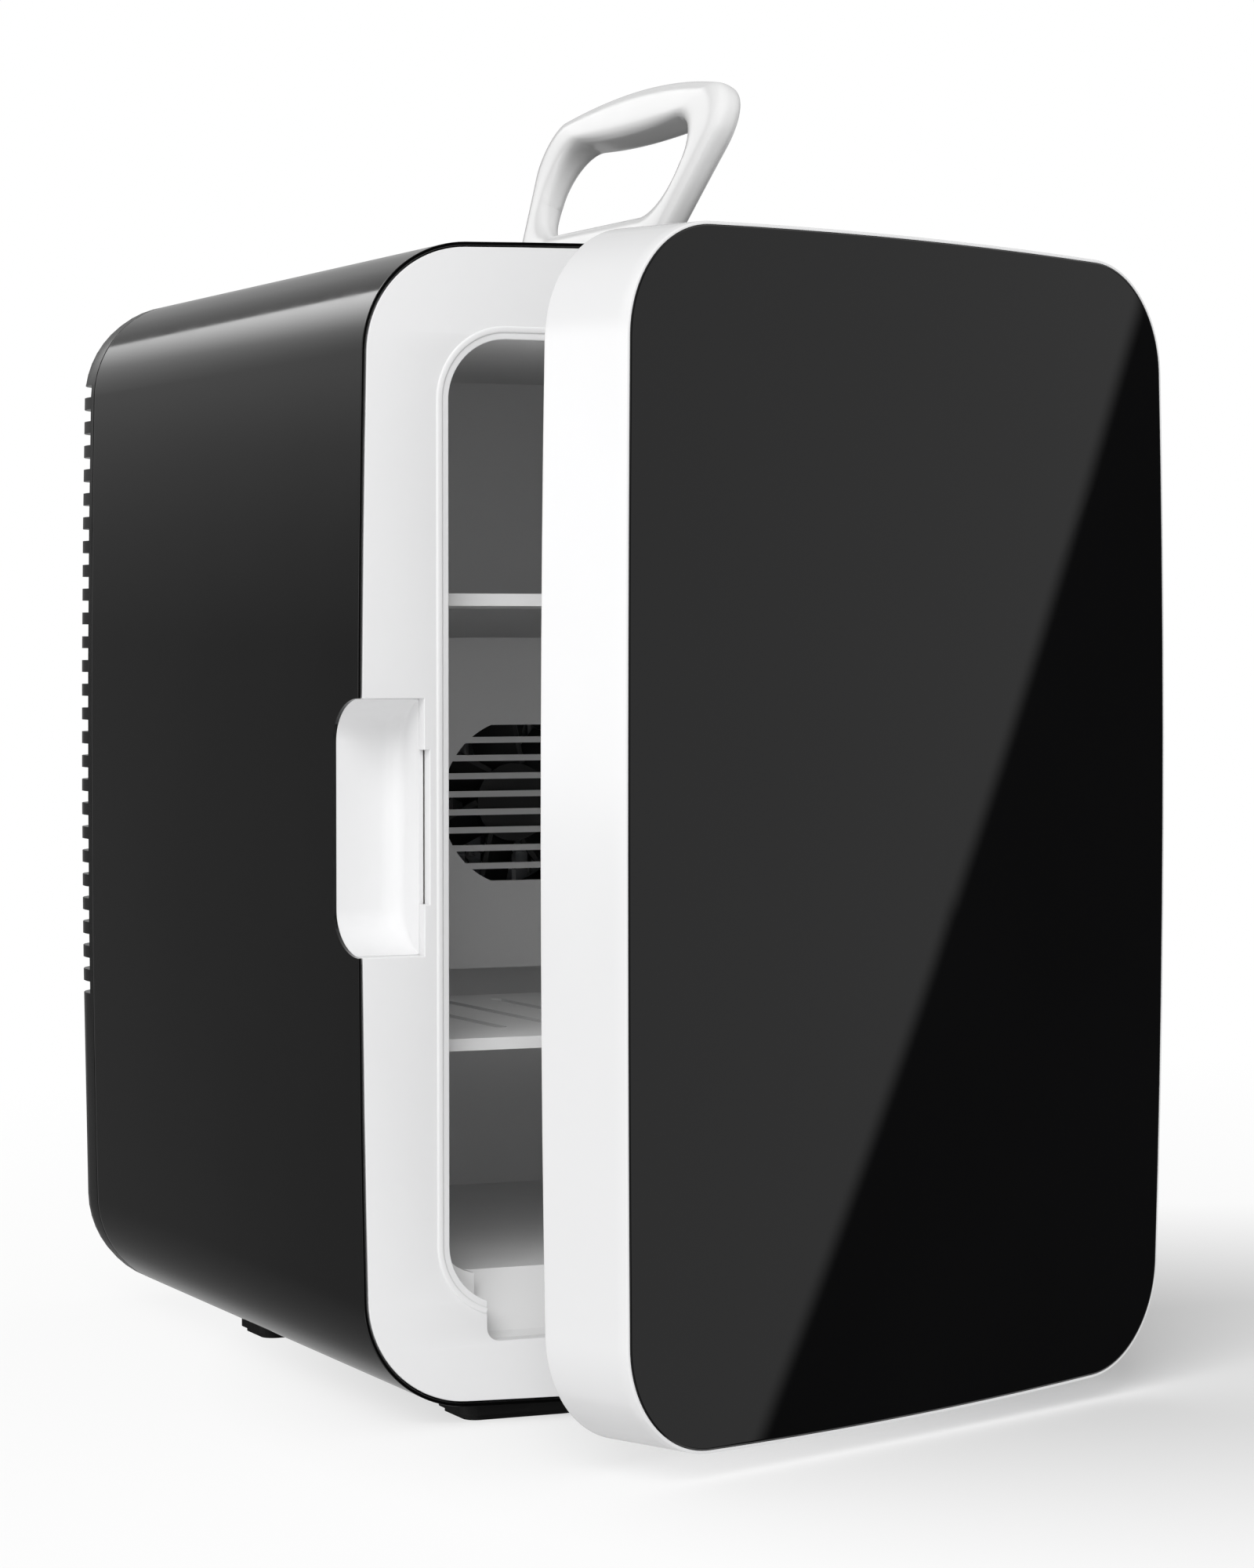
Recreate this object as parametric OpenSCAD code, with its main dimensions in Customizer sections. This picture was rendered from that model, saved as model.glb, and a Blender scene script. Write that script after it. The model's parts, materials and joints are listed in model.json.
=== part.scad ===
// Thermoelectric mini fridge: black wrap-round case, white liner, glass door and folding handle.
// The case frame has X = 0 on its middle plane, Y = 0 on the front face and Z = 0 at mid height.
// The row frame has its origin on the floor under the whole fridge with the door ajar.

/* [Case] */
// Width of the case across its bowed sides
case_w = 239.2; // [225:0.1:260]
// Height of the case without its feet
case_h = 342; // [330:0.1:360]
// Radius of the case's four long corners
case_r = 33; // [26:0.5:40]
// Rise of the left and right sides at mid height
side_bow = 1.6; // [0.5:0.1:3]
// Rise of the top and bottom at mid width
top_bow = 1.2; // [0.5:0.1:3]
// Wall of the outer shell
shell_wall = 2.2; // [1.8:0.1:3]
// Width of the shell's front lip that shows round the bezel
lip_w = 1.05; // [0.8:0.05:1.4]

/* [Rear cover] */
// Depth of the slotted rear cover
cover_depth = 26; // [25:0.5:32]
// Room between the hot fan and the rear cover's wall
fan_gap = 3.1; // [2.6:0.1:8]
// Wall of the rear cover
cover_wall = 2.4; // [2:0.1:3]
// Rounding of the cover's rear edges
cover_edge_r = 18; // [10:0.5:20]
// Number of air slots down each rear corner
slot_count = 26; // [10:1:28]
// Height of one air slot
slot_h = 4.1; // [3:0.1:5]
// Distance from the top of the case down to the highest slot
slot_drop = 29.4; // [26:0.1:40]
// Distance from one slot to the next
slot_pitch = 8.2; // [7.2:0.1:9]

/* [Opening and bezel] */
// Width of the bezel at each side of the compartment opening
frame_side = 28.4; // [27:0.1:34]
// Width of the bezel above the opening
frame_top = 29.2; // [26:0.1:36]
// Width of the bezel below the opening
frame_bottom = 30.9; // [28:0.1:36]
// Corner radius of the opening
open_r = 18; // [12:0.5:24]
// Thickness of the bezel plate
bezel_t = 4.6; // [4:0.1:6]
// Width of the raised bead round the opening
bead_w = 2; // [1.5:0.1:3]
// Plain land between the opening and the bead
bead_land = 2.4; // [1.5:0.1:4]
// Height of the bead above the bezel
bead_h = 0.6; // [0.3:0.1:1]
// Width of the drop in the opening's lower edge
drop_w = 158.6; // [120:0.1:164]
// Depth of that drop
drop_h = 11; // [5:0.1:12]

/* [Side recesses] */
// Height of the finger recess and of the hinge pocket
recess_h = 75; // [66:0.5:90]
// Depth of both recesses behind the bezel's face
recess_d = 20.7; // [18:0.1:24]
// Height of the curved run-out at each end of a recess
recess_end = 13; // [8:0.5:18]
// Distance from the side of the case in to the inner wall of a recess
recess_in = 20.7; // [18:0.1:21]
// Height of the notch in the middle of the bezel's cut edge
notch_h = 45; // [30:0.5:54]
// Depth of that notch
notch_d = 1.7; // [0.8:0.1:2]

/* [Liner and shelves] */
// Depth of the liner behind the bezel's face
liner_depth = 204.2; // [196:0.1:206]
// Wall of the liner
liner_wall = 1.8; // [1.4:0.1:2.4]
// Height of the liner's floor above the opening's lower edge
floor_rise = 7.6; // [4:0.1:12]
// Depth of the liner's mouth in front of the step up to its floor
mouth_l = 6; // [3:0.5:8]
// Length of the ramp from the drop up to the floor
ramp_l = 14; // [10:0.5:24]
// Height of the upper shelf's top face above mid height
upper_shelf_z = 68; // [60:0.5:74]
// Depth of the lower shelf's top face under mid height
lower_shelf_z = 63.3; // [58:0.1:70]
// Thickness of a shelf
shelf_t = 3.6; // [3:0.1:5]
// Distance of a shelf's front edge behind the bezel's face
shelf_front = 14; // [12:0.5:24]
// Gap between the back of a shelf and the inner grille
shelf_gap = 7; // [2:0.5:40]
// Width and height of a shelf rail
rail_w = 3.2; // [2.6:0.1:5]

/* [Door] */
// Distance of the glass's left and right edges inside the sides of the case
glass_inset_x = 2.6; // [2.2:0.1:5]
// Distance of the glass's upper and lower edges inside the case
glass_inset_z = 3; // [2.2:0.1:6]
// Corner radius of the door glass
glass_r = 32.2; // [26:0.1:40]
// Thickness of the door glass
glass_t = 3; // [2.4:0.1:4]
// Width of the white rim round the glass
rim_w = 1; // [0.8:0.1:1.4]
// Thickness of the door at its corners
door_t = 31; // [26:0.1:36]
// Gap between the shut door and the bezel
door_gap = 0.8; // [0.7:0.05:1.2]
// Extra thickness of the door at mid height
dome_z = 1.4; // [0.4:0.1:3]
// Extra thickness of the door at mid width
dome_x = 1.5; // [0.4:0.1:3]
// Wall of the door frame
door_wall = 3; // [2.4:0.1:4]
// How far the door's plug reaches into the opening
plug_depth = 8; // [4:0.5:9]
// Angle by which the door stands open
door_angle = 21.7; // [5:0.1:60]
// Distance of the hinge pin's axis inside the case's right side
hinge_inset = 2.1; // [1.6:0.1:3]
// Distance of the hinge pin's axis behind the bezel's face
hinge_back = 4.5; // [4.2:0.1:6]
// Diameter of the hinge pin
hinge_pin_d = 3; // [2.4:0.1:3.4]

/* [Handle] */
// Half length of the handle loop at its base
handle_base_l = 54.5; // [50:0.5:60]
// Half length of the handle loop at the ends of its grip
handle_top_l = 75; // [68:0.5:82]
// Height of the grip's upper face above the pivot where it meets the legs
handle_rise = 46.6; // [42:0.1:56]
// Arch of the grip's upper face above its ends
grip_arch = 8.2; // [2:0.1:12]
// Depth of the base bar below the pivot
bar_below = 7.5; // [7:0.1:7.6]
// Height of the base bar above the pivot
bar_above = 7.3; // [6:0.1:10]
// Width of a leg at its foot, in the plane of the loop
leg_foot_w = 8; // [6:0.5:14]
// Width of a leg at its top, in the plane of the loop
leg_top_w = 15.5; // [12:0.5:22]
// Depth of the grip where it meets the legs
grip_end_h = 4.4; // [3:0.1:10]
// Thickness of the base and legs across the loop
leg_t = 9; // [8:0.1:13]
// Thickness of the grip across the loop
grip_t = 13.5; // [11:0.1:14.4]
// Swell of the grip's underside towards the palm
grip_swell = 4.8; // [0:0.1:8]
// Lean of the raised handle to the right
handle_angle = 22; // [0:1:40]
// Distance of the handle's middle behind the bezel's face
handle_y = 102; // [90:1:130]
// Height of the pivot above the top of the case
pivot_h = 8; // [7.8:0.1:10]
// Distance from the handle's middle to each pivot bracket
bracket_spread = 30; // [24:0.5:34]

/* [Feet] */
// Height of a foot
foot_h = 4.1; // [3:0.1:8]
// Width of a foot from side to side
foot_w = 38; // [30:0.5:44]
// Depth of a foot from front to back
foot_d = 25; // [20:0.5:30]
// Distance from the side of the case in to a front foot's outer end
foot_inset = 34.5; // [34:0.1:60]
// Distance that a rear foot stands further out than a front one
foot_splay = 5; // [0:0.5:8]
// Distance of the front feet's middle behind the bezel's face
foot_front = 16; // [14:0.5:30]
// Distance of the rear feet's middle in front of the shell's rear end
foot_rear = 79; // [30:0.1:90]

/* [Cooling] */
// Side of the thermoelectric module
module_side = 40; // [30:1:42]
// Thickness of the thermoelectric module
module_t = 3.8; // [3.2:0.1:4.6]
// Length of the spacer block through the insulation
spacer_l = 18; // [16:0.5:20]
// Width of the hot sink
hot_sink_w = 110; // [96:1:124]
// Height of the hot sink
hot_sink_h = 100; // [94:1:110]
// Height of the hot sink's fins
hot_fin_h = 24; // [18:0.5:25]
// Side of the hot fan
hot_fan = 92; // [80:1:94]
// Depth of the hot fan
hot_fan_d = 25; // [20:0.5:25.5]
// Side of the cold sink
cold_sink_w = 70; // [62:1:76]
// Side of the cold fan
cold_fan = 60; // [50:1:62]
// Depth of the cold fan
cold_fan_d = 15; // [12:0.5:16]

/* [Hidden] */

$fn = 64;
// Steps of a drawn corner arc and of a drawn bowed side
corner_steps = 12;
side_steps = 6;
// Play round a screw, and play of a shaft in its bearing
screw_gap = 0.12;
running_gap = 0.05;
// Play between parts that slide past or drop into one another
seat_gap = 0.2;
// Length by which a cutting shape passes the face that it cuts
past = 1;

// Colours
black_plastic = [0.035, 0.035, 0.038];
white_plastic = [0.88, 0.88, 0.88];
pure_white = [0.96, 0.96, 0.96];
glass_black = [0.02, 0.02, 0.022];
steel = [0.62, 0.63, 0.65];
dark_steel = [0.3, 0.3, 0.32];
aluminium = [0.76, 0.77, 0.78];
foam_white = [0.93, 0.92, 0.88];
rubber_black = [0.05, 0.05, 0.05];
rubber_grey = [0.45, 0.46, 0.47];
board_green = [0.05, 0.3, 0.14];
nylon = [0.9, 0.88, 0.8];

// Place of the case in the row frame
case_x = -6.1;
case_y = -85.8;
case_z = foot_h + case_h / 2;

// Compartment opening, recesses and door, from the size of the case
open_w = case_w - 2 * frame_side;
open_top = case_h / 2 - frame_top;
open_bottom = case_h / 2 - frame_bottom;
floor_z = open_bottom - floor_rise;
recess_x = case_w / 2 - recess_in;
glass_w = case_w - 2 * glass_inset_x;
glass_h = case_h - 2 * glass_inset_z;
slot_top = case_h / 2 - slot_drop;

// Cooling stack, from the liner's back wall outwards
stack_y = liner_depth;
module_front = stack_y + spacer_l;
sink_front = module_front + module_t;
sink_base = 6;
fins_front = sink_front + sink_base;
hot_fan_front = fins_front + hot_fin_h;
hot_fan_back = hot_fan_front + hot_fan_d;
cover_back = hot_fan_back + fan_gap + cover_wall;
shell_depth = cover_back - cover_depth - 0.3;
bulkhead_front = module_front;
bulkhead_t = 2.2;
bulkhead_back = bulkhead_front + bulkhead_t;
cold_base = 4;
cold_fin_h = 16;
cold_fan_back = stack_y - cold_base - cold_fin_h;
cold_fan_front = cold_fan_back - cold_fan_d;
grille_front = cold_fan_front - 4.2;
shelf_depth = grille_front - shelf_gap - shelf_front;

// Case, from front to back
bezel_rabbet = 3;
collar_back = 8.4;
cover_front = shell_depth + 0.4;
spigot_l = 9;

// Door, drawn shut in the case frame and then swung open
door_rear = -door_gap;
door_corner = -door_gap - door_t;
hinge_x = case_w / 2 - hinge_inset;
lip_gap = 0.15;
glass_back = door_corner + glass_t;
door_floor = glass_back + 2.4;

// ---------- Helpers ----------

module in_case() translate([case_x, case_y, case_z]) children();

// Swings what is drawn for the shut door about the hinge pin
module in_door() {
    in_case() translate([hinge_x, hinge_back, 0]) rotate([0, 0, door_angle])
        translate([-hinge_x, -hinge_back, 0]) children();
}

// Extrudes a drawing in X and Z from y0 back to y1
module prism_y(y0, y1) translate([0, y1, 0]) rotate([90, 0, 0]) linear_extrude(y1 - y0) children();

// Extrudes a drawing in Y and Z from x0 to x1
module prism_x(x0, x1) translate([x0, 0, 0]) rotate([90, 0, 90]) linear_extrude(x1 - x0) children();

// A block between two opposite corners
module block(a, b) translate(a) cube(b - a);

// A round bar along Y and one along Z
module rod_y(x, y0, y1, z, r) translate([x, y1, z]) rotate([90, 0, 0]) cylinder(r = r, h = y1 - y0);
module rod_z(x, y, z0, z1, r) translate([x, y, z0]) cylinder(r = r, h = z1 - z0);

function turned(p, a) = [p.x * cos(a) - p.y * sin(a), p.x * sin(a) + p.y * cos(a)];
function arc(c, r, a0, a1, n) = [for (i = [0:n]) c + turned([r, 0], a0 + (a1 - a0) * i / n)];

// The inner points of a bowed side of half length len, drawn as a top side and then turned
function side(len, off, bow, r, a) = [
    for (i = [1:side_steps - 1])
        let (t = 1 - 2 * i / side_steps, n = [2 * bow * t / len, 1])
            turned([len * t, off + bow * (1 - t * t)] + r * n / norm(n), a)
];

// A rounded rectangle with bowed sides; grow moves its whole outline outwards
function bowed(w, h, r, bow_x, bow_z, grow = 0, n = corner_steps) =
    let (
        cx = w / 2 - r - bow_x, cz = h / 2 - r - bow_z, rr = r + grow,
        dx = atan(2 * bow_x / cz), dz = atan(2 * bow_z / cx)
    )
    concat(
        arc([cx, cz], rr, dx, 90 - dz, n), side(cx, cz, bow_z, rr, 0),
        arc([-cx, cz], rr, 90 + dz, 180 - dx, n), side(cz, cx, bow_x, rr, 90),
        arc([-cx, -cz], rr, 180 + dx, 270 - dz, n), side(cx, cz, bow_z, rr, 180),
        arc([cx, -cz], rr, 270 + dz, 360 - dx, n), side(cz, cx, bow_x, rr, 270)
    );

function case_outline(grow) = bowed(case_w, case_h, case_r, side_bow, top_bow, grow);
function door_outline(grow, n = corner_steps) =
    bowed(glass_w, glass_h, glass_r, side_bow, top_bow, grow, n);

// A plain rounded rectangle between two opposite corners
module rounded(a, b, r) {
    polygon(concat(
        arc([b.x - r, b.y - r], r, 0, 90, 8), arc([a.x + r, b.y - r], r, 90, 180, 8),
        arc([a.x + r, a.y + r], r, 180, 270, 8), arc([b.x - r, a.y + r], r, 270, 360, 8)
    ));
}

// The opening's outline, grown by g
module opening(g = 0) {
    rounded([-open_w / 2 - g, -open_bottom - g], [open_w / 2 + g, open_top + g], open_r + g);
}

// A pan-head screw with a cross recess, its head's seat at the origin and its shank along -Z
module screw(d, len, head_d, head_h) {
    recess = head_d * 0.55;
    slot_w = head_d * 0.14;
    difference() {
        union() {
            translate([0, 0, -len]) cylinder(d = d, h = len, $fn = 32);
            cylinder(d = head_d, h = head_h, $fn = 32);
        }
        translate([-recess / 2, -slot_w / 2, head_h / 2]) cube([recess, slot_w, head_h]);
        translate([-slot_w / 2, -recess / 2, head_h / 2]) cube([slot_w, recess, head_h]);
    }
}

// A countersunk hole or head: its face at the origin, its shank along -Z
module countersink(d, head_d, len, gap = 0) {
    depth = (head_d - d) / 2;
    translate([0, 0, -len]) cylinder(d = d + 2 * gap, h = len, $fn = 32);
    translate([0, 0, -depth]) cylinder(d1 = d + 2 * gap, d2 = head_d + 2 * gap, h = depth + 0.02,
        $fn = 32);
}

// Insulated leads: round runs between points, with round elbows
module lead(points, r) {
    for (i = [0:len(points) - 2]) {
        v = points[i + 1] - points[i];
        translate(points[i]) rotate([0, acos(v.z / norm(v)), atan2(v.y, v.x)])
            cylinder(r = r, h = norm(v), $fn = 16);
    }
    for (i = [1:len(points) - 2]) translate(points[i]) sphere(r = r, $fn = 16);
}

// ---------- Case ----------

// The curved profile of a side recess in Y and Z; its ends run out to the front in quarter ellipses
function recess_profile(g) =
    let (h = recess_h / 2 + g, e = recess_end, d = recess_d + g, n = 10)
    concat(
        [[-past, h]],
        [for (i = [0:n]) [d * sin(90 * i / n), h - e + e * cos(90 * i / n)]],
        [for (i = [0:n]) [d * cos(90 * i / n), -h + e - e * sin(90 * i / n)]],
        [[-past, -h]]
    );

recess_skin = 2;
module recess_space(x0, x1, g = 0) prism_x(x0, x1) polygon(recess_profile(g));

// The room that both side recesses and their skins take out of another part
module both_recesses(g) {
    for (s = [0, 1]) mirror([s, 0, 0]) recess_space(-case_w / 2 - past, -recess_x + g, g);
}

foot_x = case_w / 2 - foot_inset - foot_w / 2;
foot_back = shell_depth - foot_rear;
foot_spots = [
    [-foot_x, foot_front], [foot_x, foot_front],
    [-foot_x - foot_splay, foot_back], [foot_x + foot_splay, foot_back]
];
foot_screw_d = 4;
foot_boss_r = 5;
foot_boss_h = 14;
// Underside of the bowed case where the feet sit
case_bottom = -case_h / 2 + top_bow * pow(foot_x / (case_w / 2 - case_r), 2);

bracket_y = [handle_y - bracket_spread, handle_y + bracket_spread];
bracket_w = 12;
bracket_lug_x = 4;
bracket_plate_t = 3;
bracket_plate_x = 7;
bracket_plate_y = 16.5;
bracket_screw_d = 3;
bracket_screw_y = 11;
bracket_head_d = 6;
bracket_screws = [for (y = bracket_y, s = [-1, 1]) y + s * bracket_screw_y];

module outer_shell() color(black_plastic) in_case() {
    difference() {
        prism_y(0, shell_depth) polygon(case_outline(0));
        prism_y(-past, bezel_rabbet) polygon(case_outline(-lip_w));
        difference() {
            prism_y(bezel_rabbet - past, shell_depth + past) polygon(case_outline(-shell_wall));
            for (p = foot_spots)
                rod_z(p.x, p.y, -case_h / 2, -case_h / 2 + foot_boss_h, foot_boss_r);
        }
        both_recesses(0);
        for (p = foot_spots)
            rod_z(p.x, p.y, -case_h / 2 - past, -case_h / 2 + foot_boss_h + past,
                foot_screw_d / 2 + screw_gap);
        for (y = bracket_y)
            block([-bracket_lug_x - seat_gap, y - bracket_w / 2 - seat_gap, case_h / 2 - 8],
                  [bracket_lug_x + seat_gap, y + bracket_w / 2 + seat_gap, case_h / 2 + past]);
        for (y = bracket_screws)
            translate([0, y, case_h / 2]) countersink(bracket_screw_d, bracket_head_d, 8, screw_gap);
    }
}

// Half width of the drop, and its outline from the opening down
module drop(g = 0) {
    rounded([-drop_w / 2 - g, -open_bottom - drop_h - g], [drop_w / 2 + g, 0], 4);
}

magnet_r = 5;
magnet_z = [-70, 70];
magnet_x = -(case_w / 2 - 14.6);

module front_bezel() color(white_plastic) in_case() {
    difference() {
        union() {
            prism_y(0, bezel_rabbet) polygon(case_outline(-lip_w));
            prism_y(bezel_rabbet, bezel_t) polygon(case_outline(-shell_wall - seat_gap));
            prism_y(bezel_t, collar_back) difference() {
                polygon(case_outline(-shell_wall - seat_gap));
                polygon(case_outline(-shell_wall - seat_gap - 2));
            }
            prism_y(-bead_h, 0) difference() {
                opening(bead_land + bead_w);
                opening(bead_land);
                translate([-drop_w / 2, -case_h / 2]) square([drop_w, case_h / 2]);
            }
        }
        prism_y(-bead_h - past, bezel_t + past) opening();
        prism_y(-past, bezel_t + past) drop();
        both_recesses(0);
        for (s = [0, 1]) mirror([s, 0, 0]) {
            block([-case_w / 2, -past, -notch_h / 2], [-recess_x + notch_d, bezel_t + past, notch_h / 2]);
            block([-case_w / 2, bezel_t, -recess_h / 2 - 4],
                [-recess_x, collar_back + past, recess_h / 2 + 4]);
        }
        for (z = magnet_z) rod_y(magnet_x, bezel_t - 1.6, bezel_t + past, z, magnet_r + seat_gap);
    }
}

liner_front = bezel_t;
liner_back = liner_depth + liner_wall;
liner_r = 14;
flange_w = 5;

// The liner's hollow grown by g
module liner_room(y0, y1, g = 0) {
    prism_y(y0, y1) rounded([-open_w / 2 - g, -floor_z - g], [open_w / 2 + g, open_top + g], liner_r + g);
}

// The sloping space in front of the floor, grown by g
module ramp_room(g = 0) {
    low = -open_bottom - drop_h - g;
    prism_x(-drop_w / 2 - g, drop_w / 2 + g) polygon([
        [liner_front - past, low], [liner_front + 1, low], [liner_front + 4 + g / 2, low + 1.5],
        [liner_front + ramp_l + g / 2, -floor_z - g], [liner_front + ramp_l, 0], [liner_front - past, 0]
    ]);
}

// The mouth from y0 back to the step up to the floor, grown by g
module mouth_room(y0, g = 0) prism_y(y0, liner_front + mouth_l + g) opening(g);

sink_bolt_x = 27;
sink_bolt_d = 3.5;
cold_lead = [-10, -50.8];
lead_hole_r = 1.2;

module shelf_rails() {
    rail_back = shelf_front + shelf_depth - 4;
    for (s = [0, 1], z = [upper_shelf_z, -lower_shelf_z]) mirror([s, 0, 0])
        block([-open_w / 2 - 0.5, shelf_front + 2, z - shelf_t - rail_w],
              [-open_w / 2 + rail_w, rail_back, z - shelf_t]);
}

module inner_liner() color(pure_white) in_case() {
    difference() {
        union() {
            liner_room(liner_front, liner_back, liner_wall);
            mouth_room(liner_front, liner_wall);
            prism_y(liner_front, liner_front + liner_wall) opening(flange_w);
            intersection() {
                ramp_room(liner_wall);
                block([-case_w / 2, liner_front, -case_h / 2], [case_w / 2, liner_back, 0]);
            }
        }
        difference() {
            liner_room(liner_front - past, liner_depth);
            shelf_rails();
        }
        mouth_room(liner_front - past);
        ramp_room();
        block([-module_side / 2 - 1, liner_depth - past, -module_side / 2 - 1],
              [module_side / 2 + 1, liner_back + past, module_side / 2 + 1]);
        for (s = [-1, 1]) rod_y(s * sink_bolt_x, liner_depth - past, liner_back + past, 0,
            sink_bolt_d / 2 + seat_gap);
        rod_y(cold_lead.x, liner_depth - past, liner_back + past, cold_lead.y, lead_hole_r);
    }
}

backing_x = [hinge_x - 16.9, hinge_x - 5.5];
backing_h = 36;
backing_t = 2.5;
backing_front = recess_d + recess_skin + 0.05;
backing_back = backing_front + backing_t;

module body_foam() color(foam_white) in_case() {
    foam_inner = collar_back;
    difference() {
        prism_y(foam_inner, bulkhead_front) polygon(case_outline(-shell_wall - seat_gap));
        liner_room(foam_inner - past, liner_back, liner_wall);
        mouth_room(liner_front, liner_wall);
        ramp_room(liner_wall);
        block([-module_side / 2, liner_back - past, -module_side / 2],
              [module_side / 2, bulkhead_front + past, module_side / 2]);
        both_recesses(recess_skin);
        for (s = [-1, 1]) rod_y(s * sink_bolt_x, liner_back - past, bulkhead_front + past, 0,
            sink_bolt_d / 2 + 0.5);
        rod_y(cold_lead.x, liner_back - past, bulkhead_front + past, cold_lead.y, lead_hole_r);
        for (p = foot_spots)
            rod_z(p.x, p.y, -case_h / 2, -case_h / 2 + foot_boss_h + 0.3, foot_boss_r + seat_gap);
        for (y = bracket_y)
            block([-bracket_plate_x - seat_gap, y - bracket_plate_y - seat_gap, case_h / 2 - 12],
                  [bracket_plate_x + seat_gap, y + bracket_plate_y + seat_gap, case_h / 2]);
        block([backing_x[0] - seat_gap, recess_d, -backing_h / 2 - seat_gap],
              [backing_x[1] + seat_gap, backing_back + 3, backing_h / 2 + seat_gap]);
    }
}

gasket_side = 70;
board_x = -32;
board_z = -case_h / 2 + 59;
board_w = 100;
board_h = 66;
board_post_l = 6;
board_post_in = 5;
board_post_r = 3.5;
board_screw_d = 2.6;
board_spots = [for (x = [-1, 1], z = [-1, 1])
    [board_x + x * (board_w / 2 - board_post_in), board_z + z * (board_h / 2 - board_post_in)]];
cover_screw_d = 3;
cover_spots = [
    for (s = [-1, 1]) each [
        [s * (case_w / 2 - 23.6), case_h / 2 - 21], [s * (case_w / 2 - 15), -case_h / 2 + 71],
        [s * (case_w / 2 - 41.6), -case_h / 2 + 14.5]
    ]
];
cover_boss_r = 4;
cover_boss_front = cover_front - spigot_l + 1;

module rear_bulkhead() color(rubber_grey) in_case() {
    difference() {
        union() {
            prism_y(bulkhead_front, bulkhead_back) polygon(case_outline(-shell_wall - seat_gap));
            for (p = board_spots)
                rod_y(p.x, bulkhead_back - 0.1, bulkhead_back + board_post_l, p.y, board_post_r);
            for (p = cover_spots)
                rod_y(p.x, bulkhead_back - 0.1, cover_boss_front - seat_gap, p.y, cover_boss_r);
        }
        block([-gasket_side / 2 - 0.3, bulkhead_front - past, -gasket_side / 2 - 0.3],
              [gasket_side / 2 + 0.3, bulkhead_back + past, gasket_side / 2 + 0.3]);
        rod_y(cold_lead.x, bulkhead_front - past, bulkhead_back + past, cold_lead.y, lead_hole_r);
        for (p = board_spots)
            rod_y(p.x, bulkhead_back - 1.2, bulkhead_back + board_post_l + past, p.y,
                  board_screw_d / 2 + screw_gap);
        for (p = cover_spots)
            rod_y(p.x, bulkhead_back + 6, cover_front, p.y, cover_screw_d / 2 + screw_gap);
    }
}

// A moulded recess skin on the left side; the hinge pocket is its mirror image
module recess_skin_body() {
    difference() {
        recess_space(-case_w / 2 + 0.6, -recess_x + recess_skin, recess_skin);
        recess_space(-case_w / 2 - past, -recess_x, 0);
        block([-case_w / 2 - past, -2 * past, -case_h / 2], [0, bezel_t, case_h / 2]);
        difference() {
            prism_y(0, shell_depth) polygon(case_outline(20));
            prism_y(0, shell_depth) polygon(case_outline(-shell_wall - 0.05));
        }
    }
}

module grip_recess() color(white_plastic) in_case() recess_skin_body();

hinge_screw_z = [-12, 12];
hinge_base_t = 2.6;
hinge_base_h = 36;
hinge_screw_x = hinge_x - 12;
hinge_screw_d = 3;
knuckle_r = 3.4;
knuckle_half = 14.2;
leaf_knuckle = [14.6, 27];

module hinge_pocket() color(white_plastic) in_case() {
    difference() {
        mirror([1, 0, 0]) recess_skin_body();
        for (z = hinge_screw_z)
            rod_y(hinge_screw_x, recess_d - past, recess_d + recess_skin + past, z,
                hinge_screw_d / 2 + screw_gap);
    }
}

shelf_side_gap = 0.3;
module shelf(z_top) color(pure_white) in_case() {
    x = open_w / 2 - shelf_side_gap;
    slot_n = 9;
    slot_step = 2 * (x - 16) / (slot_n - 1);
    difference() {
        translate([0, 0, z_top - shelf_t]) linear_extrude(shelf_t)
            rounded([-x, shelf_front], [x, shelf_front + shelf_depth], 5);
        translate([0, 0, z_top - shelf_t - past]) linear_extrude(shelf_t + 2 * past)
            for (i = [0:slot_n - 1])
            rounded([-x + 14 + i * slot_step, shelf_front + 30],
                    [-x + 18 + i * slot_step, shelf_front + shelf_depth - 16], 1.9);
    }
}
module upper_shelf() shelf(upper_shelf_z);
module lower_shelf() shelf(-lower_shelf_z);

// ---------- Rear cover ----------

cover_sink = 3;
cover_screw_l = 34;
cover_head = [5.6, 2];
cover_edge_steps = 6;
vent_rings = 5;
vent_r = 40;
vent_bar = 2.4;

// The cover's block from y0 to y1, set in by g, with its rear edges rounded by r all round
module cover_block(y0, y1, g, r, n) {
    rings = concat([[-g, y0]], [
        for (i = [0:cover_edge_steps])
            let (a = 90 * i / cover_edge_steps) [-g - r * (1 - cos(a)), y1 - r * (1 - sin(a))]
    ]);
    m = len(bowed(case_w, case_h, case_r, side_bow, top_bow, 0, n));
    last = len(rings) - 1;
    polyhedron(
        points = [
            for (t = rings, p = bowed(case_w, case_h, case_r, side_bow, top_bow, t[0], n))
                [p.x, t[1], p.y]
        ],
        faces = concat(
            [[for (i = [m - 1:-1:0]) i]], [[for (i = [0:m - 1]) last * m + i]],
            [
                for (k = [0:last - 1], i = [0:m - 1])
                    let (a = k * m + i, b = k * m + (i + 1) % m) [a, b, b + m, a + m]
            ]
        )
    );
}

inlet_x = -66;
inlet_z = -case_h / 2 + 31;
inlet_w = 26;
inlet_h = 18;
dc_x = -22;
dc_w = 18;
dc_h = 13;
switch_x = 30;
switch_w = 21;
switch_h = 15;
lamp_x = [52, 60];
lamp_r = 1.5;

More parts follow.
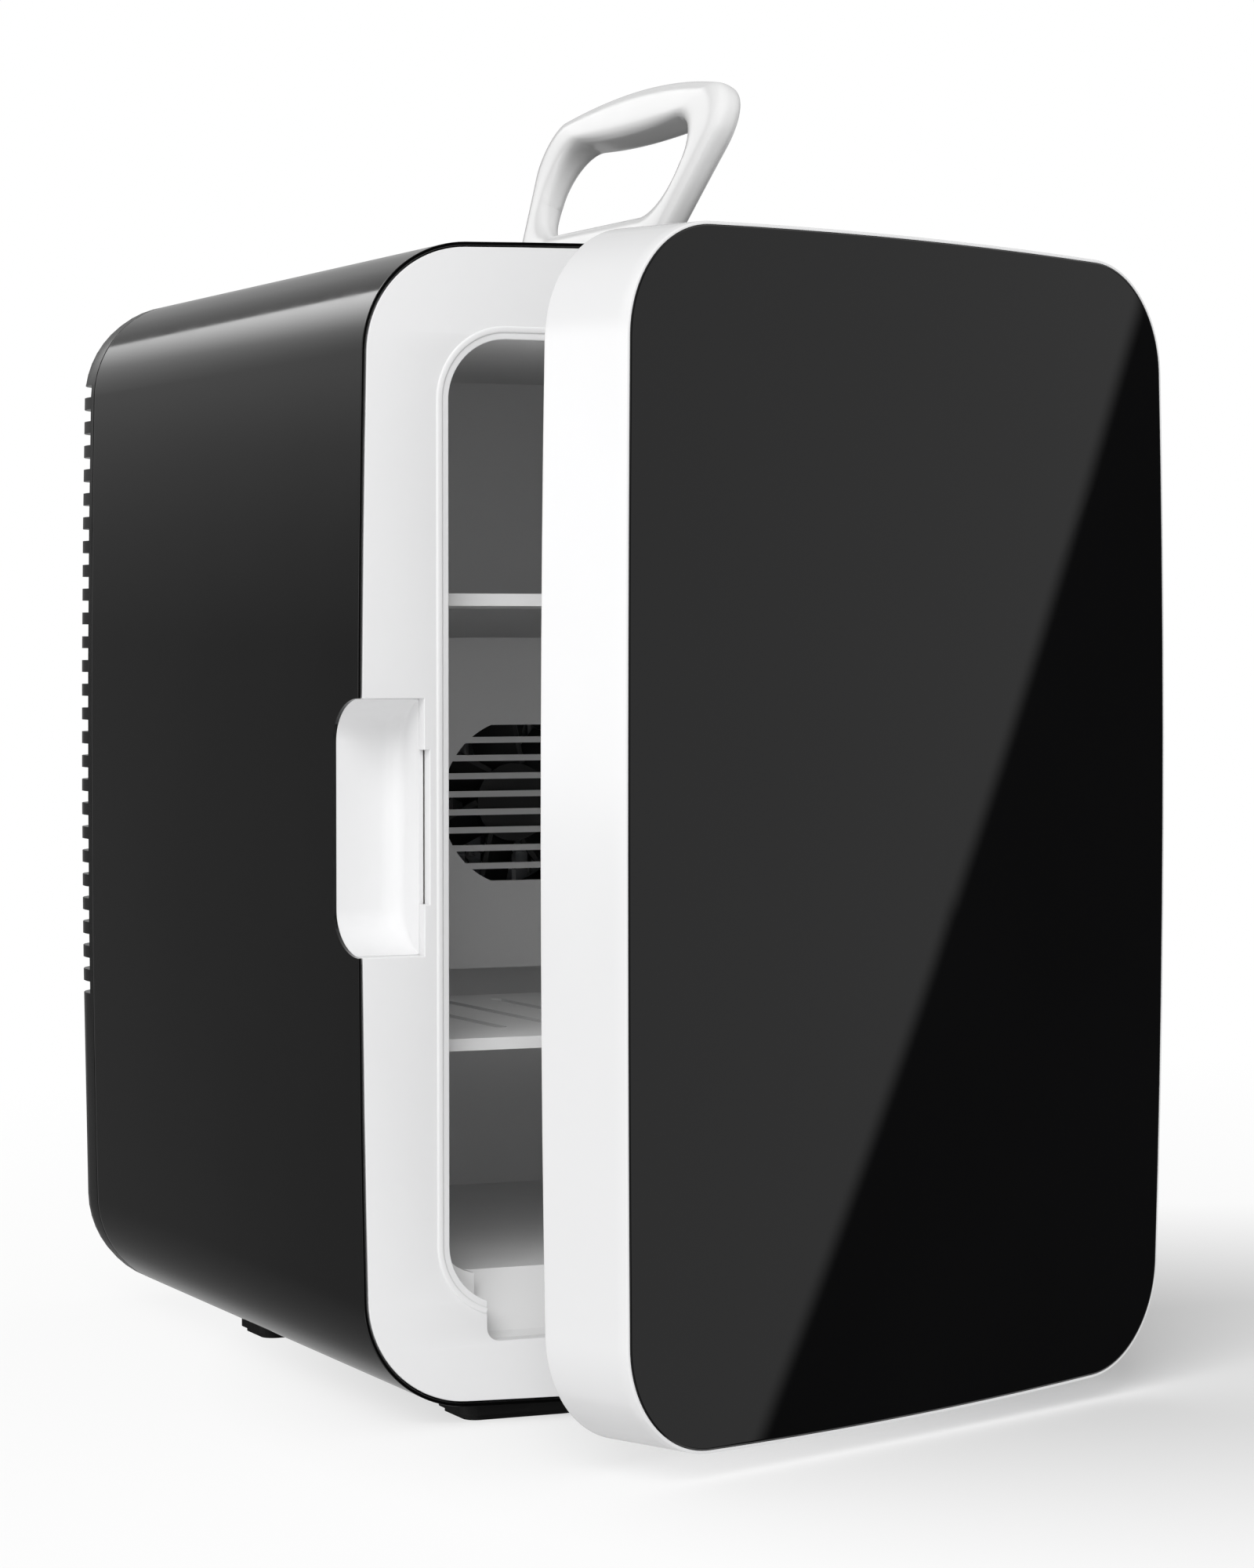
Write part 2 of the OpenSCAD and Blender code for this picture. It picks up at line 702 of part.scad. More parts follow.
module rear_cover() color(black_plastic) in_case() {
    y_in = cover_back - cover_wall;
    side_wall = cover_wall + 2;
    difference() {
        union() {
            cover_block(cover_front, cover_back, 0, cover_edge_r, corner_steps);
            prism_y(cover_front - spigot_l, cover_front + 1) difference() {
                polygon(case_outline(-shell_wall - seat_gap));
                polygon(case_outline(-shell_wall - seat_gap - 2));
            }
            for (p = cover_spots) rod_y(p.x, cover_boss_front, y_in + 0.5, p.y, cover_boss_r);
        }
        difference() {
            cover_block(cover_front - past, y_in, side_wall, cover_edge_r - side_wall, corner_steps / 2);
            for (p = cover_spots) rod_y(p.x, cover_front - spigot_l, cover_back, p.y, cover_boss_r);
        }
        for (s = [0, 1], i = [0:slot_count - 1]) mirror([s, 0, 0])
            block([-case_w / 2 - past, cover_front + 3.4, slot_top - slot_h - i * slot_pitch],
                  [-case_w / 2 + 30, cover_back + past, slot_top - i * slot_pitch]);
        // Round air grille behind the fan
        difference() {
            rod_y(0, y_in - past, cover_back + past, 0, vent_r);
            for (i = [1:vent_rings - 1]) difference() {
                rod_y(0, y_in - 2 * past, cover_back + 2 * past, 0, i * vent_r / vent_rings);
                rod_y(0, y_in - 3 * past, cover_back + 3 * past, 0, i * vent_r / vent_rings - vent_bar);
            }
            for (a = [0, 45, 90, 135]) rotate([0, a, 0])
                block([-vent_r - 1, y_in - past, -vent_bar / 2],
                    [vent_r + 1, cover_back + past, vent_bar / 2]);
        }
        block([inlet_x - inlet_w / 2, y_in - past, inlet_z - inlet_h / 2],
              [inlet_x + inlet_w / 2, cover_back + past, inlet_z + inlet_h / 2]);
        block([dc_x - dc_w / 2, y_in - past, inlet_z - dc_h / 2],
              [dc_x + dc_w / 2, cover_back + past, inlet_z + dc_h / 2]);
        block([switch_x - switch_w / 2, y_in - past, inlet_z - switch_h / 2],
              [switch_x + switch_w / 2, cover_back + past, inlet_z + switch_h / 2]);
        for (x = lamp_x) rod_y(x, y_in - past, cover_back + past, inlet_z, lamp_r + 0.1);
        for (p = cover_spots) {
            rod_y(p.x, cover_front - spigot_l, cover_back + past, p.y, cover_screw_d / 2 + screw_gap);
            rod_y(p.x, cover_back - cover_sink, cover_back + past, p.y, cover_head[0] / 2 + 0.4);
        }
    }
}

module rear_cover_screws() color(dark_steel) in_case() {
    for (p = cover_spots) translate([p.x, cover_back - cover_sink, p.y]) rotate([-90, 0, 0])
        screw(cover_screw_d, cover_screw_l, cover_head[0], cover_head[1]);
}

// ---------- Feet ----------

foot_sink = 2;
foot_screw_l = 13;
foot_head = [8, 1.6];

module foot(i) color(rubber_black) in_case() {
    p = foot_spots[i];
    floor_level = -case_z;
    difference() {
        translate([p.x, p.y, 0]) {
            translate([0, 0, floor_level + 1.6]) linear_extrude(case_bottom - floor_level)
                rounded([-foot_w / 2, -foot_d / 2], [foot_w / 2, foot_d / 2], 5);
            translate([0, 0, floor_level]) linear_extrude(1.61)
                rounded([-foot_w / 2 + 1.6, -foot_d / 2 + 1.6], [foot_w / 2 - 1.6, foot_d / 2 - 1.6], 4);
        }
        prism_y(-past, shell_depth) polygon(case_outline(0.02));
        rod_z(p.x, p.y, floor_level - past, floor_level + 20, foot_screw_d / 2 + screw_gap);
        rod_z(p.x, p.y, floor_level - past, floor_level + foot_sink, foot_head[0] / 2 + 0.4);
    }
}
module foot_front_left() foot(0);
module foot_front_right() foot(1);
module foot_rear_left() foot(2);
module foot_rear_right() foot(3);

module foot_screws() color(steel) in_case() {
    for (p = foot_spots) translate([p.x, p.y, -case_z + foot_sink]) rotate([180, 0, 0])
        screw(foot_screw_d, foot_screw_l, foot_head[0], foot_head[1]);
}

// ---------- Handle ----------

handle_steps = 6;
section_steps = 16;

function unit(v) = v / norm(v);

// A rounded corner of radius r at c on the way from p to q
function fillet(c, p, q, r, n) =
    let (
        a = unit(p - c), b = unit(q - c), half = acos(a * b) / 2,
        m = c + unit(a + b) * r / sin(half),
        s = c + a * r / tan(half) - m, e = c + b * r / tan(half) - m,
        a0 = atan2(s.y, s.x), sweep = (atan2(e.y, e.x) - a0 + 540) % 360 - 180
    )
    [for (i = [0:n]) m + turned([r, 0], a0 + sweep * i / n)];

// The points that part the way from p to q into n steps
function between(p, q, n) = [for (i = [1:n - 1]) p + (q - p) * i / n];

// A rounded outline of the loop, U along the pivot and V up from it.
// Its half lengths are b and t, at heights v0 and v1.
function loop_line(b, t, v0, v1, rb, rt) =
    let (
        n = handle_steps, bl = [-b, v0], br = [b, v0], tl = [-t, v1], tr = [t, v1],
        c1 = fillet(bl, br, tl, rb, n), c2 = fillet(tl, bl, tr, rt, n),
        c3 = fillet(tr, tl, br, rt, n), c4 = fillet(br, tr, bl, rb, n)
    )
    concat(
        c1, between(c1[n], c2[0], 4), c2, between(c2[n], c3[0], 10),
        c3, between(c3[n], c4[0], 4), c4, between(c4[n], c1[0], 6)
    );

// 0 at the base and 1 at the grip, for a point at height v of a line that ends at height top
function grip_part(v, top) = pow(max(0, min(1, v / top)), 3);

// Lifts the grip's stretch of an outline by up to rise at its middle
function raised(line, t, top, rise) =
    [for (p = line) p + [0, rise * grip_part(p.y, top) * max(0, 1 - pow(p.x / t, 2))]];

handle_inner_top = handle_rise - grip_end_h;
handle_inner_l = handle_top_l - leg_top_w;
outer_line = raised(
    loop_line(handle_base_l, handle_top_l, -bar_below, handle_rise, 12, 11),
    handle_top_l, handle_rise, grip_arch
);
inner_line = raised(
    loop_line(handle_base_l - leg_foot_w, handle_inner_l, bar_above, handle_inner_top, 19, 17),
    handle_inner_l, handle_inner_top, -grip_swell
);

// A sine whose section is flatter than a circle's
function squared(s) = sign(s) * pow(abs(s), 0.6);

// One ring of the loop's skin between point p outside and point q inside
function ring(p, q) =
    let (
        g = grip_part((p.y + q.y) / (handle_rise + handle_inner_top), 1),
        t = leg_t + (grip_t - leg_t) * g, mid = (p + q) / 2, reach = (p - q) / 2
    )
    [
        for (j = [0:section_steps - 1])
            let (a = 360 * j / section_steps, m = mid + reach * squared(cos(a)))
                [squared(sin(a)) * t / 2, m.x, m.y]
    ];

module handle_loop() {
    n = len(outer_line);
    k = section_steps;
    rings = [for (i = [0:n - 1]) ring(outer_line[i], inner_line[i])];
    polyhedron(
        points = [for (r = rings) each r],
        faces = [
            for (i = [0:n - 1], j = [0:k - 1])
                let (p = i * k, q = (i + 1) % n * k, j2 = (j + 1) % k)
                    each [[p + j, q + j2, p + j2], [p + j, q + j, q + j2]]
        ]
    );
}

handle_pin_r = 1.8;
lug_r = 4;
pin_end = handle_base_l - 4;
pin_start = bracket_spread - bracket_w / 2 - 6;

// Draws in the handle's own frame: X across the loop, Y along the pivot, Z up the loop
module in_handle() {
    in_case() translate([0, handle_y, case_h / 2 + pivot_h]) rotate([0, handle_angle, 0]) children();
}

module carry_handle() color(pure_white) in_handle() {
    difference() {
        handle_loop();
        for (s = [-1, 1]) {
            block([-leg_t, s * bracket_spread - bracket_w / 2 - 0.5, -bar_below - past],
                  [leg_t, s * bracket_spread + bracket_w / 2 + 0.5, lug_r + 0.5]);
            rotate([-90 * s, 0, 0]) translate([0, 0, pin_start - 0.3])
                cylinder(r = handle_pin_r + running_gap, h = handle_base_l);
        }
    }
}

module handle_pins() color(steel) in_handle() {
    for (s = [-1, 1]) rotate([-90 * s, 0, 0]) translate([0, 0, pin_start])
        cylinder(r = handle_pin_r, h = pin_end - pin_start);
}

// Lugs that stand up through slots in the case, each on a plate under its top wall
module handle_brackets() color(steel) in_case() {
    under = case_h / 2 - shell_wall - 0.1;
    for (y = bracket_y) difference() {
        union() {
            block([-bracket_plate_x, y - bracket_plate_y, under - bracket_plate_t],
                  [bracket_plate_x, y + bracket_plate_y, under]);
            block([-bracket_lug_x, y - bracket_w / 2, under - 1],
                  [bracket_lug_x, y + bracket_w / 2, case_h / 2 + pivot_h]);
            rod_y(0, y - bracket_w / 2, y + bracket_w / 2, case_h / 2 + pivot_h, lug_r);
        }
        rod_y(0, y - bracket_w, y + bracket_w, case_h / 2 + pivot_h, handle_pin_r + running_gap);
        for (s = [-1, 1])
            rod_z(0, y + s * bracket_screw_y, under - bracket_plate_t - past, under + past,
                  bracket_screw_d / 2 + screw_gap);
    }
}

bracket_screw_l = 7;

module handle_bracket_screws() color(steel) in_case() {
    for (y = bracket_screws) translate([0, y, case_h / 2 - 0.05])
        difference() {
            countersink(bracket_screw_d, bracket_head_d, bracket_screw_l);
            block([-2, -0.4, -0.8], [2, 0.4, 1]);
            block([-0.4, -2, -0.8], [0.4, 2, 1]);
        }
}

// ---------- Door ----------

function dome(p) =
    dome_x * (1 - pow(p.x / (glass_w / 2), 2)) + dome_z * (1 - pow(p.y / (glass_h / 2), 2));

dome_rings = [1, 0.75, 0.45];

// A solid with the door's outline grown by g, its faces at depths front and back;
// swell is 1 where a face follows the door's dome and 0 where it is flat
module domed(g, front, back, swell = 1) {
    edge = door_outline(g);
    n = len(edge);
    m = len(dome_rings);
    function face(y, k) = concat(
        [for (s = dome_rings, p = edge) [p.x * s, y - k * dome(p * s), p.y * s]],
        [[0, y - k * dome([0, 0]), 0]]
    );
    size = m * n + 1;
    function web(o, flip) = [
        for (i = [0:n - 1])
            let (j = (i + 1) % n)
                each concat(
                    [for (r = [0:m - 2]) let (a = o + r * n) each [[a + i, a + j, a + n + j],
                        [a + i, a + n + j, a + n + i]]],
                    [[o + (m - 1) * n + i, o + (m - 1) * n + j, o + m * n]]
                )
    ];
    function turned_over(f) = [for (t = f) [t[2], t[1], t[0]]];
    polyhedron(
        points = concat(face(front, 1), face(back, swell)),
        faces = concat(
            turned_over(web(0)), web(size),
            [for (i = [0:n - 1]) let (j = (i + 1) % n) each [[i, j, size + j], [i, size + j, size + i]]]
        )
    );
}

panel_t = 3.5;
panel_front = door_rear - panel_t;
door_inner = rim_w - door_wall;
gasket_w = 3.8;
gasket_in = 1.6;
groove_front = door_rear - 2.3;
gasket_back = -bead_h - 0.35;
plug_gap = 3.5;
plug_wall = 2;
leaf_t = 2.5;
leaf_x = [hinge_x - 21, hinge_x - 5];
leaf_h = 58;
leaf_screw_x = hinge_x - 14.5;
leaf_screw_z = [-22, -8, 8, 22];
panel_screw_d = 3;
panel_screw_l = 14;
panel_head = [5.6, 1.6];
panel_screw_in = [11, 46];
panel_x = glass_w / 2 - panel_screw_in.x;
panel_z = glass_h / 2 - panel_screw_in.y;
panel_spots = [for (x = [-panel_x, panel_x], z = [-panel_z, panel_z]) [x, z]];
magnet_t = 2.4;

module door_frame() color(pure_white) in_door() {
    difference() {
        domed(rim_w, door_corner + 0.2, door_rear, 0);
        domed(lip_gap, door_corner - 5, glass_back + 0.05);
        difference() {
            prism_y(door_floor, door_rear + past) polygon(door_outline(door_inner));
            for (p = panel_spots) rod_y(p.x, door_floor - past, panel_front, p.y, 4);
            block([leaf_x[0] - 0.5, door_floor - past, -leaf_h / 2],
                [glass_w / 2, door_rear - leaf_t, leaf_h / 2]);
        }
        for (p = panel_spots) rod_y(p.x, panel_front - 12, door_rear + past, p.y,
            panel_screw_d / 2 + screw_gap);
        for (z = leaf_screw_z) rod_y(leaf_screw_x, door_rear - 14, door_rear + past, z,
            panel_screw_d / 2 + screw_gap);
    }
}

module door_glass() color(glass_black) in_door() domed(0, door_corner, glass_back);

// The plug that fills the mouth of the compartment when the door is shut, shrunk by g
module plug(y0, y1, g) {
    prism_y(y0, y1) rounded(
        [-open_w / 2 + plug_gap + g, -floor_z + plug_gap + g],
        [open_w / 2 - plug_gap - g, open_top - plug_gap - g], liner_r - g
    );
}

// The ring that the gasket fills, from g0 to g1 outside the opening
module seal_ring(y0, y1, g0, g1) {
    low = open_bottom + drop_h;
    prism_y(y0, y1) difference() {
        rounded([-open_w / 2 - g1, -low - g1], [open_w / 2 + g1, open_top + g1], open_r + g1);
        rounded([-open_w / 2 - g0, -low - g0], [open_w / 2 + g0, open_top + g0], open_r + g0);
    }
}

module door_foam() color(foam_white) in_door() {
    difference() {
        union() {
            prism_y(door_floor, panel_front) polygon(door_outline(door_inner - seat_gap));
            plug(panel_front - past, plug_depth - plug_wall, plug_wall);
        }
        for (p = panel_spots) rod_y(p.x, door_floor - past, panel_front + past, p.y, 4 + seat_gap);
        block([leaf_x[0] - 0.5 - seat_gap, door_floor - past, -leaf_h / 2 - seat_gap],
              [glass_w / 2, door_rear, leaf_h / 2 + seat_gap]);
        for (z = magnet_z) rod_y(magnet_x, panel_front - 2, panel_front + past, z, magnet_r + seat_gap);
    }
}

module door_inner_panel() color(white_plastic) in_door() {
    difference() {
        union() {
            prism_y(panel_front, door_rear) polygon(door_outline(door_inner - seat_gap));
            plug(door_rear - past, plug_depth, 0);
        }
        plug(panel_front - past, plug_depth - plug_wall, plug_wall);
        seal_ring(groove_front, door_rear + past, gasket_in, gasket_in + gasket_w);
        block([leaf_x[0] - 0.5, panel_front - past, -leaf_h / 2 - 0.3],
            [glass_w / 2, door_rear + past, leaf_h / 2 + 0.3]);
        for (p = panel_spots) translate([p.x, door_rear, p.y]) rotate([-90, 0, 0])
            countersink(panel_screw_d, bracket_head_d, 12, screw_gap);
        for (z = magnet_z) rod_y(magnet_x, panel_front - past, panel_front + magnet_t, z, magnet_r + 0.1);
    }
}

module door_gasket() color(rubber_grey) in_door() {
    seal_ring(groove_front, gasket_back, gasket_in + 0.1, gasket_in + gasket_w - 0.1);
}

module door_magnets() color(steel) in_door() {
    for (z = magnet_z) rod_y(magnet_x, panel_front, panel_front + magnet_t, z, magnet_r);
}

module strike_plates() color(steel) in_case() {
    for (z = magnet_z) rod_y(magnet_x, bezel_t - 1.6, bezel_t, z, magnet_r);
}

module door_panel_screws() color(steel) in_door() {
    for (p = panel_spots) translate([p.x, door_rear - 0.05, p.y]) rotate([-90, 0, 0]) difference() {
        countersink(panel_screw_d, bracket_head_d, panel_screw_l);
        block([-2, -0.4, -0.8], [2, 0.4, 1]);
        block([-0.4, -2, -0.8], [0.4, 2, 1]);
    }
}

// ---------- Hinge ----------

module body_hinge_bracket() color(white_plastic) in_case() {
    base_front = recess_d - hinge_base_t;
    difference() {
        union() {
            block([hinge_x - 17.3, base_front, -hinge_base_h / 2],
                [hinge_x - 2, recess_d, hinge_base_h / 2]);
            block([hinge_x - 5.4, hinge_back, -knuckle_half],
                [hinge_x - 0.8, base_front + 0.1, knuckle_half]);
            rod_z(hinge_x, hinge_back, -knuckle_half, knuckle_half, knuckle_r);
        }
        rod_z(hinge_x, hinge_back, -knuckle_half - past, knuckle_half + past,
            hinge_pin_d / 2 + running_gap);
        for (z = hinge_screw_z)
            rod_y(hinge_screw_x, base_front - past, recess_d + past, z, hinge_screw_d / 2 + screw_gap);
    }
}

module hinge_backing_plate() color(steel) in_case() {
    difference() {
        block([backing_x[0], backing_front, -backing_h / 2], [backing_x[1], backing_back, backing_h / 2]);
        for (z = hinge_screw_z)
            rod_y(hinge_screw_x, backing_front - past, backing_back + past, z,
                hinge_screw_d / 2 + screw_gap);
    }
}

hinge_head = [6, 1.8];

module body_hinge_screws() color(steel) in_case() {
    for (z = hinge_screw_z) translate([hinge_screw_x, recess_d - hinge_base_t, z]) rotate([90, 0, 0])
        screw(hinge_screw_d, backing_back - recess_d + hinge_base_t + 0.5, hinge_head[0], hinge_head[1]);
}

module hinge_pin() color(steel) in_door() {
    rod_z(hinge_x, hinge_back, -leaf_knuckle[1] - 0.6, leaf_knuckle[1] + 0.6, hinge_pin_d / 2);
}

module door_hinge_leaf() color(white_plastic) in_door() {
    difference() {
        union() {
            block([leaf_x[0], door_rear - leaf_t, -leaf_h / 2 + 0.3],
                [leaf_x[1], door_rear, leaf_h / 2 - 0.3]);
            for (s = [0, 1]) mirror([0, 0, s]) {
                rod_z(hinge_x, hinge_back, leaf_knuckle[0], leaf_knuckle[1], knuckle_r);
                translate([0, 0, leaf_knuckle[0]]) linear_extrude(leaf_knuckle[1] - leaf_knuckle[0])
                    polygon([
                    [leaf_x[1] - 6, door_rear - 0.1], [leaf_x[1], door_rear - 0.1],
                    [hinge_x + 1.6, hinge_back - 3], [hinge_x, hinge_back + knuckle_r - 0.01],
                    [hinge_x - 2.6, hinge_back + 2.1]
                ]);
            }
        }
        rod_z(hinge_x, hinge_back, -leaf_knuckle[1] - past, leaf_knuckle[1] + past,
            hinge_pin_d / 2 + running_gap);
        for (z = leaf_screw_z)
            rod_y(leaf_screw_x, door_rear - leaf_t - past, door_rear + past, z,
                panel_screw_d / 2 + screw_gap);
    }
}

leaf_screw_l = 12;

module door_hinge_screws() color(steel) in_door() {
    for (z = leaf_screw_z) translate([leaf_screw_x, door_rear, z]) rotate([-90, 0, 0])
        screw(panel_screw_d, leaf_screw_l, panel_head[0], panel_head[1]);
}

// ---------- Cooling ----------

grille_side = 110;
grille_wall = 2;

module inner_fan_grille() color(white_plastic) in_case() {
    h = grille_side / 2;
    difference() {
        prism_y(grille_front, liner_depth) rounded([-h, -h], [h, h], 8);
        prism_y(grille_front + grille_wall, liner_depth + past)
            rounded([-h + grille_wall, -h + grille_wall], [h - grille_wall, h - grille_wall], 6);
        intersection() {
            rod_y(0, grille_front - past, grille_front + grille_wall + past, 0, cold_fan / 2 - 2);
            for (i = [-4:4]) block([-h, grille_front - past, i * 6 - 2],
                [h, grille_front + grille_wall + past, i * 6 + 2]);
        }
        for (s = [0, 1], i = [-3:3]) mirror([s, 0, 0])
            block([-h - past, cold_fan_back + 2, i * 12 - 4],
                [-h + grille_wall + past, liner_depth - 4, i * 12 + 4]);
    }
}

// A square fan frame from y0 to y1 with its motor mount at the rear
module fan_frame(side, y0, y1, screw_pitch, screw_r, mount_r, shaft_r) {
    bore = side / 2 - 1.8;
    mount_t = 2.6;
    difference() {
        prism_y(y0, y1) rounded([-side / 2, -side / 2], [side / 2, side / 2], 3.5);
        rod_y(0, y0 - past, y1 + past, 0, bore);
        for (x = [-1, 1], z = [-1, 1])
            rod_y(x * screw_pitch / 2, y0 - past, y1 + past, z * screw_pitch / 2, screw_r + screw_gap);
    }
    difference() {
        union() {
            rod_y(0, y1 - mount_t, y1, 0, mount_r);
            for (a = [45, 165, 285]) rotate([0, a, 0])
                block([mount_r - 1, y1 - mount_t, -1.5], [bore + 0.5, y1, 1.5]);
        }
        rod_y(0, y1 - mount_t - past, y1 + past, 0, shaft_r + running_gap);
    }
}

// A fan rotor: hub, shaft and pitched blades
module fan_rotor(side, y0, y1, hub_r, shaft_r, blades) {
    tip = side / 2 - 3;
    chord = (y1 - y0 - 5) / sin(38);
    mid = (y0 + y1 - 3.4) / 2;
    rod_y(0, y0 + 1.2, y1 - 3.4, 0, hub_r);
    rod_y(0, y1 - 4, y1 - 0.2, 0, shaft_r);
    intersection() {
        difference() {
            rod_y(0, y0 + 1, y1 - 3.2, 0, tip);
            rod_y(0, y0, y1, 0, hub_r - 0.5);
        }
        for (i = [0:blades - 1]) rotate([0, i * 360 / blades, 0]) translate([0, mid, 0])
            rotate([52, 0, 0])
            block([hub_r - 1, -chord / 2, -0.7], [tip + 1, chord / 2, 0.7]);
    }
}

cold_screw_pitch = cold_fan - 10;
cold_screw_d = 3;
hot_screw_pitch = hot_fan - 9.5;
hot_screw_d = 4;
cold_shaft_r = 1.5;
hot_shaft_r = 2;

module cold_fan_frame() color(rubber_black) in_case() {
    fan_frame(cold_fan, cold_fan_front, cold_fan_back, cold_screw_pitch, cold_screw_d / 2, 13,
        cold_shaft_r);
}
module cold_fan_rotor() color(rubber_black) in_case() {
    fan_rotor(cold_fan, cold_fan_front, cold_fan_back, 13, cold_shaft_r, 7);
}
module hot_fan_frame() color(rubber_black) in_case() {
    fan_frame(hot_fan, hot_fan_front, hot_fan_back, hot_screw_pitch, hot_screw_d / 2, 19, hot_shaft_r);
}
module hot_fan_rotor() color(rubber_black) in_case() {
    fan_rotor(hot_fan, hot_fan_front, hot_fan_back, 19, hot_shaft_r, 7);
}

// Screws at the four corners of a fan; way is 1 where they point back and -1 where they point forward
module fan_screws(pitch, y, d, len, way) {
    for (x = [-1, 1], z = [-1, 1]) translate([x * pitch / 2, y, z * pitch / 2]) rotate([90 * way, 0, 0])
        screw(d, len, d * 1.9, d * 0.5);
}

module cold_fan_screws() color(steel) in_case()
    fan_screws(cold_screw_pitch, cold_fan_front, cold_screw_d, cold_fan_d + 8, 1);
module hot_fan_screws() color(steel) in_case()
    fan_screws(hot_screw_pitch, hot_fan_back, hot_screw_d, hot_fan_d + 8, -1);

// Fins and screw posts of a sink of width w and height h between y0 and y1
module fin_field(w, h, y0, y1, count, fin_t, pitch, post) {
    step = (w - fin_t) / (count - 1);
    for (i = [0:count - 1])
        block([-w / 2 + i * step, y0, -h / 2], [-w / 2 + i * step + fin_t, y1, h / 2]);
    for (x = [-1, 1], z = [-1, 1])
        block([x * pitch / 2 - post / 2, y0, z * pitch / 2 - post / 2],
            [x * pitch / 2 + post / 2, y1, z * pitch / 2 + post / 2]);
}

module cold_sink() color(aluminium) in_case() {
    base_front = liner_depth - cold_base;
    difference() {
        union() {
            block([-cold_sink_w / 2, base_front, -cold_sink_w / 2],
                [cold_sink_w / 2, liner_depth, cold_sink_w / 2]);
            fin_field(cold_sink_w, cold_sink_w, cold_fan_back, base_front + 0.1, 13, 1.4,
                cold_screw_pitch, 8);
        }
        for (x = [-1, 1], z = [-1, 1])
            rod_y(x * cold_screw_pitch / 2, cold_fan_back - past, cold_fan_back + 9,
                z * cold_screw_pitch / 2, cold_screw_d / 2 + screw_gap);
        for (s = [-1, 1])
            rod_y(s * sink_bolt_x, base_front + 0.8, liner_depth + past, 0, sink_bolt_d / 2 + screw_gap);
    }
}

module spacer_block() color(aluminium) in_case() {
    h = module_side / 2 - 0.1;
    block([-h, liner_depth, -h], [h, module_front, h]);
}

module peltier_module() color(nylon) in_case() {
    h = module_side / 2;
    block([-h, module_front, -h], [h, sink_front, h]);
}

module thermal_gasket() color(rubber_black) in_case() {
    h = gasket_side / 2;
    m = module_side / 2 + 0.1;
    difference() {
        block([-h, module_front, -h], [h, sink_front, h]);
        block([-m, module_front - past, -m], [m, sink_front + past, m]);
        block([-8, module_front - past, -h - past], [8, sink_front + past, 0]);
        for (s = [-1, 1]) rod_y(s * sink_bolt_x, module_front - past, sink_front + past, 0,
            sink_bolt_d / 2 + 0.5);
    }
}

cutout_z = -36;
cutout_r = 7;

module hot_sink() color(aluminium) in_case() {
    difference() {
        union() {
            block([-hot_sink_w / 2, sink_front, -hot_sink_h / 2],
                [hot_sink_w / 2, fins_front, hot_sink_h / 2]);
            difference() {
                fin_field(hot_sink_w, hot_sink_h, fins_front - 0.1, hot_fan_front, 21, 1.3,
                    hot_screw_pitch, 9);
                for (s = [-1, 1]) rod_y(s * sink_bolt_x, fins_front, hot_fan_front + past, 0,
                    bush_r + 0.8);
                rod_y(0, fins_front, hot_fan_front + past, cutout_z, cutout_r + 2);
            }
        }
        for (x = [-1, 1], z = [-1, 1])
            rod_y(x * hot_screw_pitch / 2, hot_fan_front - 9, hot_fan_front + past,
                z * hot_screw_pitch / 2, hot_screw_d / 2 + screw_gap);
        for (s = [-1, 1]) rod_y(s * sink_bolt_x, sink_front - past, fins_front + past, 0,
            sink_bolt_d / 2 + screw_gap);
    }
}

bush_t = 1.5;
bush_r = 4.2;
bolt_head = [7, 2.4];

module hot_sink_bushes() color(nylon) in_case() {
    for (s = [-1, 1]) difference() {
        rod_y(s * sink_bolt_x, fins_front, fins_front + bush_t, 0, bush_r);
        rod_y(s * sink_bolt_x, fins_front - past, fins_front + bush_t + past, 0,
            sink_bolt_d / 2 + screw_gap);
    }
}

module hot_sink_screws() color(steel) in_case() {
    bolt_l = fins_front + bush_t - (liner_depth - cold_base + 1);
    for (s = [-1, 1]) translate([s * sink_bolt_x, fins_front + bush_t, 0]) rotate([-90, 0, 0])
        screw(sink_bolt_d, bolt_l, bolt_head[0], bolt_head[1]);
}

module thermal_cutout() color(steel) in_case() {
    rod_y(0, fins_front, fins_front + 4, cutout_z, cutout_r);
    rod_y(0, fins_front + 4, fins_front + 7, cutout_z, cutout_r - 2);
}

// ---------- Electrics ----------

board_front = bulkhead_back + board_post_l;
board_t = 1.6;
board_back = board_front + board_t;

module power_board() color(board_green) in_case() {
    difference() {
        block([board_x - board_w / 2, board_front, board_z - board_h / 2],
              [board_x + board_w / 2, board_back, board_z + board_h / 2]);
        for (p = board_spots) rod_y(p.x, board_front - past, board_back + past, p.y,
            board_screw_d / 2 + screw_gap);
    }
}

board_screw_l = 8;
board_head = [5, 1.6];

module power_board_screws() color(steel) in_case() {
    for (p = board_spots) translate([p.x, board_back, p.y]) rotate([-90, 0, 0])
        screw(board_screw_d, board_screw_l, board_head[0], board_head[1]);
}

// Transformer: place left of the board's middle, yoke and coil sizes
coil_left = 22;
yoke = [28, 5, 24];
coil = [20, 10, 18];

module board_transformer() color("khaki") in_case() {
    translate([board_x - coil_left, board_back, board_z]) {
        for (y = [0, yoke.y + coil.y]) translate([-yoke.x / 2, y, -yoke.z / 2]) cube(yoke);
        translate([-coil.x / 2, yoke.y, -coil.z / 2]) cube(coil);
    }
}

// Capacitors: X and Z from the board's middle, radius and length
cap_big = [20, 12, 8, 24];
cap_small = [[37, -12, 5, 16], [20, -12, 5, 16]];

